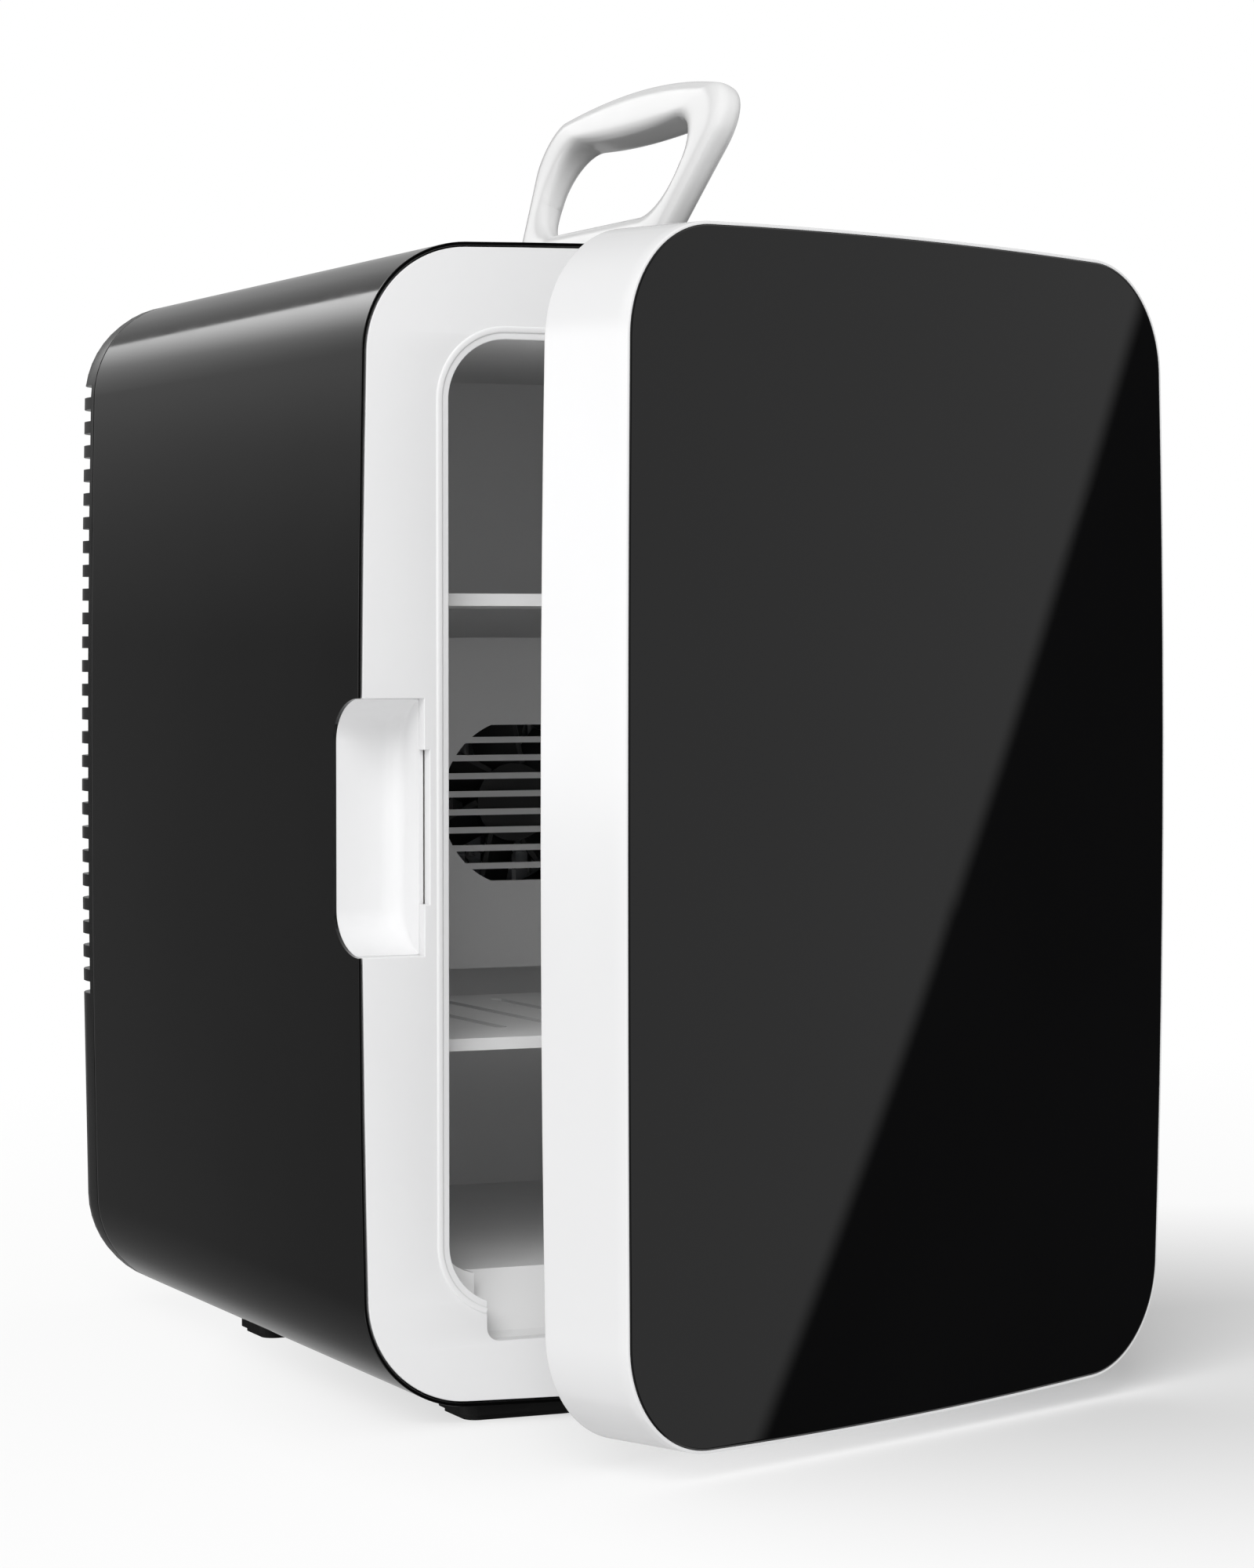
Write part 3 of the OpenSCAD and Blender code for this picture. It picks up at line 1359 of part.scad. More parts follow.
module board_capacitors() color(dark_steel) in_case() {
    for (c = concat([cap_big], cap_small))
        rod_y(board_x + c[0], board_back, board_back + c[3], board_z + c[1], c[2]);
}

flange_t = 1.5;
socket_gap = 0.2;

module mains_inlet() color(rubber_black) in_case() {
    w = inlet_w / 2 - socket_gap;
    h = inlet_h / 2 - socket_gap;
    difference() {
        union() {
            block([inlet_x - w, cover_back - 20, inlet_z - h],
                [inlet_x + w, cover_back + 0.1, inlet_z + h]);
            prism_y(cover_back, cover_back + flange_t)
                rounded([inlet_x - w - 3, inlet_z - h - 2], [inlet_x + w + 3, inlet_z + h + 2], 3);
        }
        for (s = [-1, 1]) rod_y(inlet_x + s * 4.3, cover_back - 12, cover_back + flange_t + past,
            inlet_z, 4);
        block([inlet_x - 4.3, cover_back - 12, inlet_z - 2.5],
            [inlet_x + 4.3, cover_back + flange_t + past, inlet_z + 2.5]);
    }
    for (s = [-1, 1]) rod_y(inlet_x + s * 4.3, cover_back - 12.5, cover_back - 3, inlet_z, 1.2);
}

module dc_socket() color(rubber_black) in_case() {
    w = dc_w / 2 - socket_gap;
    h = dc_h / 2 - socket_gap;
    difference() {
        union() {
            block([dc_x - w, cover_back - 17, inlet_z - h], [dc_x + w, cover_back + 0.1, inlet_z + h]);
            prism_y(cover_back, cover_back + flange_t)
                rounded([dc_x - w - 2, inlet_z - h - 2], [dc_x + w + 2, inlet_z + h + 2], 2);
        }
        prism_y(cover_back - 10, cover_back + flange_t + past)
            rounded([dc_x - w + 2, inlet_z - h + 2], [dc_x + w - 2, inlet_z + h - 2], 2);
    }
    for (s = [-1, 1]) block([dc_x + s * 3 - 0.6, cover_back - 10.5, inlet_z - 1.6],
        [dc_x + s * 3 + 0.6, cover_back - 2, inlet_z + 1.6]);
}

rocker_w = 16;
rocker_h = 10;
rocker_y = cover_back - 1;
rocker_pin_r = 1.1;

module mode_switch_housing() color(rubber_black) in_case() {
    w = switch_w / 2 - socket_gap;
    h = switch_h / 2 - socket_gap;
    difference() {
        union() {
            block([switch_x - w, cover_back - 11, inlet_z - h],
                [switch_x + w, cover_back + 0.1, inlet_z + h]);
            prism_y(cover_back, cover_back + flange_t)
                rounded([switch_x - w - 2, inlet_z - h - 2], [switch_x + w + 2, inlet_z + h + 2], 1.5);
        }
        block([switch_x - rocker_w / 2 - 0.8, cover_back - 9, inlet_z - rocker_h / 2 - 0.3],
              [switch_x + rocker_w / 2 + 0.8, cover_back + flange_t + past,
                  inlet_z + rocker_h / 2 + 0.3]);
        rod_z(switch_x, rocker_y, inlet_z - rocker_h / 2 - 1.5, inlet_z + rocker_h / 2 + 1.5,
            rocker_pin_r + running_gap);
    }
}

module mode_rocker() color(rubber_black) in_case() {
    r = rocker_w / 2;
    translate([switch_x, rocker_y, inlet_z - rocker_h / 2]) linear_extrude(rocker_h) polygon([
        [-r, 3.4], [0, 1.8], [r, 3.4], [r, -1], [3.4, -5.5], [-3.4, -5.5], [-r, -1]
    ]);
    rod_z(switch_x, rocker_y, inlet_z - rocker_h / 2 - 1.3, inlet_z + rocker_h / 2 + 1.3, rocker_pin_r);
}

module status_lamps() color("seagreen") in_case() {
    for (x = lamp_x) {
        rod_y(x, cover_back - cover_wall - 4, cover_back + 0.6, inlet_z, lamp_r);
        rod_y(x, cover_back - cover_wall - 4, cover_back - cover_wall, inlet_z, lamp_r + 0.7);
    }
}

lead_r = 0.7;

// Leads from the sockets and switch to the board, and from the board to the thermoelectric module
module power_leads() color("firebrick") in_case() {
    y = bulkhead_back + 0.8;
    z_in = board_z + board_h / 2 - 5;
    for (x = [-5, 5])
        lead([[x, y, -module_side / 2], [x, y, z_in], [x, board_front, z_in]], lead_r);
    z = inlet_z + 4;
    for (x = [inlet_x - 2, inlet_x + 2]) lead([[x, cover_back - 20, z], [x, board_back, z]], lead_r);
    lead([[dc_x, cover_back - 17, z], [dc_x, board_back, z]], lead_r);
    lead([
        [switch_x, cover_back - 11, inlet_z], [switch_x, board_back + 12, inlet_z],
        [4, board_back + 12, z], [4, board_back, z]
    ], lead_r);
}

module fan_leads() color("dimgray") in_case() {
    z_in = board_z + board_h / 2 - 8;
    y_hot = hot_fan_front + 6;
    lead([[2, y_hot, -hot_fan / 2], [2, y_hot, z_in], [2, board_back, z_in]], lead_r);
    y_cold = cold_fan_front + 7;
    y_down = bulkhead_back + 3.2;
    lead([
        [cold_lead.x, y_cold, -cold_fan / 2], [cold_lead.x, y_cold, cold_lead.y],
        [cold_lead.x, y_down, cold_lead.y], [cold_lead.x, y_down, z_in], [cold_lead.x, board_front, z_in]
    ], lead_r);
}

// ---------- Assembly ----------

outer_shell();
front_bezel();
inner_liner();
body_foam();
rear_bulkhead();
grip_recess();
hinge_pocket();
upper_shelf();
lower_shelf();
rear_cover();
rear_cover_screws();
foot_front_left();
foot_front_right();
foot_rear_left();
foot_rear_right();
foot_screws();
handle_brackets();
handle_bracket_screws();
handle_pins();
carry_handle();
door_frame();
door_glass();
door_foam();
door_inner_panel();
door_gasket();
door_magnets();
strike_plates();
door_panel_screws();
body_hinge_bracket();
hinge_backing_plate();
body_hinge_screws();
hinge_pin();
door_hinge_leaf();
door_hinge_screws();
inner_fan_grille();
cold_fan_frame();
cold_fan_rotor();
cold_fan_screws();
cold_sink();
spacer_block();
peltier_module();
thermal_gasket();
hot_sink();
hot_sink_screws();
hot_sink_bushes();
thermal_cutout();
hot_fan_frame();
hot_fan_rotor();
hot_fan_screws();
power_board();
board_transformer();
board_capacitors();
power_board_screws();
mains_inlet();
dc_socket();
mode_switch_housing();
mode_rocker();
status_lamps();
power_leads();
fan_leads();
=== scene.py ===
"""Looks of the mini fridge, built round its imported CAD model.

Lengths here are in millimetres until a mesh is made.
"""
import json
import math

import bmesh
import bpy
from mathutils import Matrix, Vector

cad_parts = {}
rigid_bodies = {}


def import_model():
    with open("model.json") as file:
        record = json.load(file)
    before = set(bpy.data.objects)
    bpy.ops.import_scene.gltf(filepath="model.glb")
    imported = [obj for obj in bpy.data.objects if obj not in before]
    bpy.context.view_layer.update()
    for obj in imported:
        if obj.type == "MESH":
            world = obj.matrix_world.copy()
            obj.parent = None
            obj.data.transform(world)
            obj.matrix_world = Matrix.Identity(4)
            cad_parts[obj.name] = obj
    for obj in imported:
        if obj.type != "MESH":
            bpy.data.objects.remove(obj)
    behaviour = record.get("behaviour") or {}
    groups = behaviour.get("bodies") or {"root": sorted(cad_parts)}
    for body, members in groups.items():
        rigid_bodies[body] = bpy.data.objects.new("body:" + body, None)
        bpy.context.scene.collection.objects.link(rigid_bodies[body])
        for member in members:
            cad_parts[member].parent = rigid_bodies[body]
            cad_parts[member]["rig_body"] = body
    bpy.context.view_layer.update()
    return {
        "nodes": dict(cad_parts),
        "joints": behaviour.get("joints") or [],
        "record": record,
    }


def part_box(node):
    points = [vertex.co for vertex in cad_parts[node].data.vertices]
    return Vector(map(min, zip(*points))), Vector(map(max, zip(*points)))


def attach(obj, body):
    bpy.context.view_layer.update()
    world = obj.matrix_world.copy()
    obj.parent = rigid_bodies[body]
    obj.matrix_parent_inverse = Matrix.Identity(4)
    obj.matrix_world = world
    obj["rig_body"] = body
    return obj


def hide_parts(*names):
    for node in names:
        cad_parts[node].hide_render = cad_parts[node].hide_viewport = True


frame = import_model()
NODES = frame["nodes"]
JOINTS = {j["name"]: j for j in frame["joints"]}

MM = 0.001
WHITE = (1, 1, 1, 1)


def case_frame():
    """The middle of the case's front face in mm, which is where X, Y and Z are 0 in the case frame."""
    lo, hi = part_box("outer_shell")
    return Vector(((lo.x + hi.x) / 2, lo.y, (lo.z + hi.z) / 2)) / MM


CASE = case_frame()
SHELL_LO, SHELL_HI = (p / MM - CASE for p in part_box("outer_shell"))
CASE_W = SHELL_HI.x - SHELL_LO.x
CASE_H = 342.0
SHELL_DEPTH = SHELL_HI.y
HINGE = Vector(JOINTS["door_hinge"]["pos_m"]) / MM - CASE
DOOR_ANGLE = math.radians(-JOINTS["door_hinge"]["range_deg"][0])
PIVOT = Vector(JOINTS["handle_hinge"]["pos_m"]) / MM - CASE
HANDLE_ANGLE = math.radians(-JOINTS["handle_hinge"]["range_deg"][0])

# Sizes shared with the solids
CASE_R, SIDE_BOW, TOP_BOW = 33.0, 1.6, 1.2
LIP_W, LIP_DEPTH, SHELL_WALL, SEAM = 1.05, 3.0, 2.2, 0.45
BEZEL_T, BEZEL_EDGE = 4.6, 0.35
OPEN_W, OPEN_TOP, OPEN_BOTTOM, OPEN_R = 182.4, 141.8, 140.1, 18.0
DROP_W, DROP_H, DROP_R = 158.6, 11.0, 4.0
BEAD_LAND, BEAD_W, BEAD_H = 1.9, 2.0, 0.45
RECESS_H, RECESS_D, RECESS_END, RECESS_X = 75.0, 20.7, 13.0, 98.9
NOTCH_H, NOTCH_D = 45.0, 1.7
CUP_WALL, CUP_FILLET = 1.6, 6.0
GLASS_W, GLASS_H, GLASS_R, GLASS_T = 234.0, 336.0, 32.2, 3.0
RIM_W, RIM_WALL, DOOR_GAP, DOOR_T = 1.0, 3.0, 0.8, 31.0
DOME_X, DOME_Z = 1.5, 1.4
DOOR_REAR = -DOOR_GAP
DOOR_CORNER = -DOOR_GAP - DOOR_T
# Points along a quarter turn of the case's and the door's corners
CASE_ARC, DOOR_ARC = 24, 28
# How far the door frame's rear edge reaches into the door's gap, and its rounding there
REAR_REACH, REAR_R = 0.4, 0.6


# ---------- Mesh helpers ----------


def place_case():
    return Matrix.Translation(CASE * MM) @ Matrix.Scale(MM, 4)


def place_door():
    """From the case frame with the door drawn shut to the row frame with the door as it stands."""
    pin = Vector((HINGE.x, HINGE.y, 0))
    swing = Matrix.Translation(pin) @ Matrix.Rotation(DOOR_ANGLE, 4, "Z") @ Matrix.Translation(-pin)
    return place_case() @ swing


def place_handle():
    """From the handle's own frame, X across the loop, Y along the pivot and Z up, to the row frame."""
    return place_case() @ Matrix.Translation(PIVOT) @ Matrix.Rotation(HANDLE_ANGLE, 4, "Y")


def link(name, mesh, matrix, smooth_deg=35):
    mesh.transform(matrix)
    if matrix.determinant() < 0:
        mesh.flip_normals()
    mesh.update()
    mesh.shade_smooth()
    mesh.set_sharp_from_angle(angle=math.radians(smooth_deg))
    obj = bpy.data.objects.new(name, mesh)
    bpy.context.scene.collection.objects.link(obj)
    return obj


def mesh_of(bm, name):
    bmesh.ops.recalc_face_normals(bm, faces=bm.faces)
    mesh = bpy.data.meshes.new(name)
    bm.to_mesh(mesh)
    bm.free()
    return mesh


def loft(name, rings, closed=False, cap=(True, True)):
    """A skin over rings of equal length; closed joins the last ring to the first."""
    bm = bmesh.new()
    rows = [[bm.verts.new(p) for p in ring] for ring in rings]
    pairs = list(zip(rows, rows[1:])) + ([(rows[-1], rows[0])] if closed else [])
    for a, b in pairs:
        for i in range(len(a)):
            j = (i + 1) % len(a)
            bm.faces.new((a[i], a[j], b[j], b[i]))
    if not closed:
        for ring, wanted in zip((rows[0], rows[-1]), cap):
            if wanted:
                bm.faces.new(ring)
    return mesh_of(bm, name)


def bowed(w, h, r, bow_x, bow_z, grow=0.0, n=CASE_ARC, sides=10):
    """A rounded rectangle with bowed sides, counter-clockwise from the right side's top."""
    cx, cz, rr = w / 2 - r - bow_x, h / 2 - r - bow_z, r + grow
    dx, dz = math.atan(2 * bow_x / cz), math.atan(2 * bow_z / cx)
    out = []

    def arc(x, z, a0, a1):
        for i in range(n + 1):
            a = a0 + (a1 - a0) * i / n
            out.append((x + rr * math.cos(a), z + rr * math.sin(a)))

    def side(length, off, bow, turn):
        for i in range(1, sides):
            t = 1 - 2 * i / sides
            slope = 2 * bow * t / length
            k = rr / math.hypot(slope, 1)
            x, z = length * t + slope * k, off + bow * (1 - t * t) + k
            out.append((x * math.cos(turn) - z * math.sin(turn),
                        x * math.sin(turn) + z * math.cos(turn)))

    q = math.pi / 2
    arc(cx, cz, dx, q - dz)
    side(cx, cz, bow_z, 0)
    arc(-cx, cz, q + dz, 2 * q - dx)
    side(cz, cx, bow_x, q)
    arc(-cx, -cz, 2 * q + dx, 3 * q - dz)
    side(cx, cz, bow_z, 2 * q)
    arc(cx, -cz, 3 * q + dz, 4 * q - dx)
    side(cz, cx, bow_x, 3 * q)
    return out


def case_outline(grow):
    return bowed(CASE_W, CASE_H, CASE_R, SIDE_BOW, TOP_BOW, grow)


def case_ring(grow, y):
    return [(x, y, z) for x, z in case_outline(grow)]


def door_outline(grow):
    return bowed(GLASS_W, GLASS_H, GLASS_R, SIDE_BOW, TOP_BOW, grow, DOOR_ARC)


def rounded(x0, z0, x1, z1, r, n=12):
    """A rounded rectangle, counter-clockwise."""
    out = []
    corners = ((x1 - r, z1 - r, 0), (x0 + r, z1 - r, 1), (x0 + r, z0 + r, 2), (x1 - r, z0 + r, 3))
    for cx, cz, k in corners:
        for i in range(n + 1):
            a = (k + i / n) * math.pi / 2
            out.append((cx + r * math.cos(a), cz + r * math.sin(a)))
    return out


def cut(obj, tool, operation="DIFFERENCE"):
    """Applies an exact boolean and removes the tool."""
    mod = obj.modifiers.new("cut", "BOOLEAN")
    mod.operation, mod.object, mod.solver = operation, tool, "EXACT"
    apply_modifiers(obj)
    bpy.data.objects.remove(tool)


def evaluated_mesh(obj):
    graph = bpy.context.evaluated_depsgraph_get()
    return bpy.data.meshes.new_from_object(obj.evaluated_get(graph))


def apply_modifiers(obj):
    mesh = evaluated_mesh(obj)
    obj.modifiers.clear()
    obj.data = mesh


def clean(obj, smooth_deg=35, dissolve_deg=0.5):
    """Joins coplanar faces and marks sharp edges again after a cut."""
    bm = bmesh.new()
    bm.from_mesh(obj.data)
    bmesh.ops.remove_doubles(bm, verts=bm.verts, dist=2e-6)
    if dissolve_deg:
        bmesh.ops.dissolve_limit(
            bm, angle_limit=math.radians(dissolve_deg), verts=bm.verts, edges=bm.edges)
    bm.to_mesh(obj.data)
    bm.free()
    obj.data.shade_smooth()
    obj.data.set_sharp_from_angle(angle=math.radians(smooth_deg))


def soft_edges(obj, width):
    """A small rounding on the edges, as moulded plastic has."""
    mod = obj.modifiers.new("soft", "BEVEL")
    mod.width, mod.segments = width * MM, 2
    mod.limit_method, mod.angle_limit = "ANGLE", math.radians(35)
    mod.harden_normals = True
    mod.use_clamp_overlap = True
    apply_modifiers(obj)


def plate(name, outlines, y0, y1, edge, matrix, steps=3):
    """A flat plate in X and Z with holes; its edges are rounded by edge."""
    curve = bpy.data.curves.new(name, "CURVE")
    curve.dimensions, curve.fill_mode = "2D", "BOTH"
    for points in outlines:
        spline = curve.splines.new("POLY")
        spline.points.add(len(points) - 1)
        for p, (x, z) in zip(spline.points, points):
            p.co = (x, z, 0, 1)
        spline.use_cyclic_u = True
    curve.extrude = (y1 - y0) / 2 - edge
    curve.bevel_depth, curve.bevel_resolution = edge, steps
    curve.offset = -edge
    obj = bpy.data.objects.new(name, curve)
    bpy.context.scene.collection.objects.link(obj)
    mesh = evaluated_mesh(obj)
    bpy.data.objects.remove(obj)
    mesh.transform(Matrix.Translation((0, (y0 + y1) / 2, 0)) @ Matrix.Rotation(math.pi / 2, 4, "X"))
    bm = bmesh.new()
    bm.from_mesh(mesh)
    bmesh.ops.remove_doubles(bm, verts=bm.verts, dist=1e-4)
    return link(name, mesh_of(bm, name), matrix)


def refined(node, width=0.0):
    """A copy of a CAD node with joined faces and small soft edges, which stands for it."""
    source = NODES[node]
    obj = bpy.data.objects.new(node + "_skin", source.data.copy())
    obj.data.materials.clear()
    bpy.context.scene.collection.objects.link(obj)
    if "custom_normal" in obj.data.attributes:
        obj.data.attributes.remove(obj.data.attributes["custom_normal"])
    clean(obj)
    if width:
        soft_edges(obj, width)
        obj.data.set_sharp_from_angle(angle=math.radians(50))
    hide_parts(node)
    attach(obj, source["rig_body"])
    return obj


# ---------- Case ----------


def recess_curve(deeper=0.0, grow=0.0, n=16, y_start=BEZEL_T):
    """The recess's profile in Y and Z from its upper front end to its lower one."""
    h, d, e = RECESS_H / 2 + grow, RECESS_D + deeper + grow, RECESS_END + grow
    t0 = math.asin(y_start / d)
    quarter = [t0 + (math.pi / 2 - t0) * i / n for i in range(n + 1)]
    upper = [(d * math.sin(t), h - e + e * math.cos(t)) for t in quarter]
    floor = [(d, (h - e) * (1 - 2 * i / 12)) for i in range(1, 12)]
    return upper + floor + [(y, -z) for y, z in reversed(upper)]


def recess_cutter(side, grow, x_out):
    """A solid that cuts the recess out of the shell, out to x_out from the middle plane."""
    ahead, past_floor = 5.0, 3.0
    profile = [(-ahead, RECESS_H / 2 + grow)] + recess_curve(0, grow, 24, 0.0)
    profile += [(-ahead, -RECESS_H / 2 - grow)]
    ends = (side * x_out, side * (RECESS_X - past_floor))
    rings = [[(x, y, z) for y, z in profile] for x in ends]
    return link("cutter", loft("cutter", rings), place_case())


def build_shell():
    # Growth and depth round the wall's section; close pairs keep the shading of the edges off the sides
    front = [(-0.9, 0.0), (-0.15, 0.0), (-0.04, 0.04), (0.0, 0.15), (0.0, 0.7), (0.0, 130.0)]
    rear = [(0.0, SHELL_DEPTH - 1.2), (0.0, SHELL_DEPTH - 0.4), (-0.12, SHELL_DEPTH - 0.12),
            (-0.4, SHELL_DEPTH), (-SHELL_WALL, SHELL_DEPTH)]
    inside = [(-SHELL_WALL, LIP_DEPTH), (-LIP_W, LIP_DEPTH), (-LIP_W, 0.15)]
    rings = [case_ring(grow, y) for grow, y in front + rear + inside]
    obj = link("case_shell", loft("case_shell", rings, closed=True), place_case())
    for side in (-1, 1):
        cut(obj, recess_cutter(side, 0, CASE_W / 2 + 5))
        cut(obj, recess_cutter(side, CUP_WALL + 0.1, CASE_W / 2 - LIP_W))
    clean(obj, dissolve_deg=0)
    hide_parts("outer_shell")
    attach(obj, "root")
    return obj


def opening_sizes(grow):
    """Half width, top, bottom and corner radius of the opening, moved outwards by grow."""
    return OPEN_W / 2 + grow, OPEN_TOP + grow, -OPEN_BOTTOM - grow, OPEN_R + grow


def opening_outline(grow=0.0):
    """The opening with its drop, counter-clockwise from the middle of its right side."""
    half, top, low, r = opening_sizes(grow)
    box = rounded(-half, low, half, top, r, 20)
    drop = DROP_W / 2 + grow
    upper = [(x, z) for x, z in box if not (abs(x) < drop and z < 0)]
    z_meet = low + r - math.sqrt(r * r - (drop - half + r) ** 2)
    foot = -OPEN_BOTTOM - DROP_H - grow
    arc = rounded(-drop, foot, drop, 0, DROP_R + grow, 8)
    lower = [(x, z) for x, z in arc if z < foot + DROP_R + grow + 0.01]
    left = [p for p in lower if p[0] < 0]
    right = [p for p in lower if p[0] > 0]
    # The rounded rectangle's list starts on the right side and ends at its lower right corner
    first = [p for p in upper if not (p[0] > 0 and p[1] < 0)]
    last = [p for p in upper if p[0] > 0 and p[1] < 0]
    return first + [(-drop, z_meet)] + left + right + [(drop, z_meet)] + last


def bezel_outline():
    """The bezel's outer line, stepped in where the recesses cut it."""
    points = case_outline(-LIP_W - SEAM)
    cut_h, notch = RECESS_H / 2 - 0.1, NOTCH_H / 2
    edge = -CASE_W / 2 + LIP_W + SEAM
    step = [(edge, cut_h), (-RECESS_X, cut_h), (-RECESS_X, notch), (-RECESS_X + NOTCH_D, notch)]
    step += [(x, -z) for x, z in reversed(step)]
    left_at = next(i for i, (x, z) in enumerate(points) if x < -RECESS_X and z < cut_h)
    kept = [p for p in points[:left_at] if p[1] > -cut_h or p[0] < RECESS_X]
    after = [p for p in points[left_at:] if p[1] < -cut_h]
    above = [p for p in kept if p[0] < RECESS_X or p[1] > cut_h]
    return above + step + after + [(-x, -z) for x, z in step]


def bead_strip():
    """The raised bead round the opening, which stops at the drop."""
    half, top, low, r = opening_sizes(BEAD_LAND + BEAD_W / 2)
    box = rounded(-half, low, half, top, r, 20)
    stop = DROP_W / 2
    path = [p for p in box if not (abs(p[0]) < stop and p[1] < 0)]
    first = [p for p in path if not (p[0] > 0 and p[1] < 0)]
    last = [p for p in path if p[0] > 0 and p[1] < 0]
    path = last + first
    # Places across the bead and heights above the bezel, as shares of half its width and of its height
    section = [(-1.0, -0.1), (-0.92, 0.45), (-0.72, 0.85), (-0.45, 1.0),
               (0.35, 1.0), (0.68, 0.8), (0.9, 0.4), (1.0, -0.1)]
    rings = []
    for i, (x, z) in enumerate(path):
        a, b = path[max(0, i - 1)], path[min(len(path) - 1, i + 1)]
        d = math.hypot(b[0] - a[0], b[1] - a[1])
        nx, nz = (b[1] - a[1]) / d, -(b[0] - a[0]) / d
        rings.append([(x + nx * o * BEAD_W / 2, -h * BEAD_H, z + nz * o * BEAD_W / 2)
                      for o, h in section])
    return link("bezel_bead", loft("bezel_bead", rings), place_case(), smooth_deg=50)


def build_bezel():
    outlines = [bezel_outline(), opening_outline()]
    face = plate("bezel_face", outlines, 0.0, BEZEL_T, BEZEL_EDGE, place_case())
    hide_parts("front_bezel")
    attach(face, "root")
    bead = bead_strip()
    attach(bead, "root")
    return face, bead


def build_recess(side, node, name):
    """The moulded skin of a recess, with a fillet between its floor and its wall."""
    r, clear = CUP_FILLET, 0.1
    x_out = CASE_W / 2 - LIP_W - clear
    # Stations from the shell's wall inwards: distance from the middle plane and inset of the profile
    stations = [(x_out, 0.0), ((x_out + RECESS_X) / 2, 0.0)]
    for i in range(9):
        a = i / 8 * math.pi / 2
        stations.append((RECESS_X + r - r * math.sin(a), r * (1 - math.cos(a))))
    rings = [[(side * x, y, z) for y, z in recess_curve(-inset)] for x, inset in stations]
    bm = bmesh.new()
    rows = [[bm.verts.new(p) for p in ring] for ring in rings]
    for a, b in zip(rows, rows[1:]):
        for i in range(len(a) - 1):
            bm.faces.new((a[i], a[i + 1], b[i + 1], b[i]))
    bm.faces.new(rows[-1])
    obj = link(name, mesh_of(bm, name), place_case(), smooth_deg=60)
    # The skin grows away from the hollow
    floor = obj.data.polygons[len(rows[0]) // 2]
    mod = obj.modifiers.new("wall", "SOLIDIFY")
    mod.thickness, mod.offset = CUP_WALL * MM, -1 if floor.normal.y < 0 else 1
    apply_modifiers(obj)
    clean(obj, smooth_deg=50, dissolve_deg=0)
    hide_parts(node)
    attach(obj, "root")
    return obj


# ---------- Door ----------


def dome(x, z):
    return DOME_X * (1 - (2 * x / GLASS_W) ** 2) + DOME_Z * (1 - (2 * z / GLASS_H) ** 2)


def build_door_frame():
    glass_back, inside = DOOR_CORNER + GLASS_T, RIM_W - RIM_WALL
    rim, rear, r = DOOR_CORNER + 0.2, DOOR_REAR + REAR_REACH, REAR_R
    # Each station: growth of the outline, depth, and how far it follows the dome
    stations = [(0.12, glass_back, 1), (0.12, rim, 1), (0.35, rim - 0.05, 1), (0.65, rim - 0.02, 1),
                (0.88, rim + 0.12, 1), (RIM_W, rim + 0.42, 1), (RIM_W, rim + 4.0, 0.6),
                (RIM_W, -12.0, 0), (RIM_W, rear - 1.4, 0)]
    for i in range(7):
        a = i / 6 * math.pi / 2
        stations.append((RIM_W - r + r * math.cos(a), rear - r + r * math.sin(a), 0))
    stations += [(inside, rear, 0), (inside, DOOR_REAR - 5, 0), (inside, glass_back + 0.6, 0)]
    rings = []
    for grow, y, follow in stations:
        rings.append([(x, y - follow * dome(x, z), z) for x, z in door_outline(grow)])
    obj = link("door_rim", loft("door_rim", rings, closed=True), place_door(), smooth_deg=50)
    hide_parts("door_frame")
    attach(obj, "door")
    return obj


def build_door_glass():
    def ring(grow, y, s=1.0):
        """The pane's outline grown or scaled by s, at a depth from the door's corners."""
        y += DOOR_CORNER
        return [(x * s, y - dome(x * s, z * s), z * s) for x, z in door_outline(grow)]

    land = -3.0
    rings = [ring(-0.1, GLASS_T - 0.3), ring(0, GLASS_T - 0.6), ring(0, 0.35), ring(-0.08, 0.12),
             ring(-0.3, 0.01)]
    # Close rings at the bevel keep the reflections straight right up to the edge
    rings += [ring(grow, 0) for grow in (-0.6, -0.8, -1.2, land)]
    rings += [ring(land, 0, s) for s in (0.94, 0.86, 0.77, 0.67, 0.56, 0.45, 0.34, 0.23, 0.12, 0.04)]
    obj = link("door_pane", loft("door_pane", rings), place_door(), smooth_deg=60)
    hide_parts("door_glass")
    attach(obj, "door")
    return obj


# ---------- Handle ----------

BASE_L, TOP_L, RISE, ARCH, SWELL = 54.5, 75.0, 46.9, 8.2, 4.6
BAR_BELOW, BAR_ABOVE, LEG_FOOT, LEG_TOP, GRIP_H = 7.5, 7.3, 8.0, 15.5, 4.4
LEG_T, GRIP_T = 9.0, 12.0
# Corner radii of the loop's outer and inner lines, at the foot and at the grip
OUTER_R, INNER_R = (12, 11.5), (19, 17)
# Points round the section, the power that shapes it, and how much squarer it is under the grip
SECTION_POINTS, SECTION_POWER, GRIP_SQUARER = 48, 0.75, 0.33
# Half the pocket for a bracket's lug, which is 0.2 mm less than the lug so that no slit shows round it,
# and the top of the slot for its stem
BRACKET_Y, BRACKET_W, POCKET, STEM_TOP = 30.0, 12.0, 3.8, 0.5
# Room beside the bracket, and how far the slot is cut past the bar
SIDE_CLEAR, SLOT_REACH = 0.5, 9


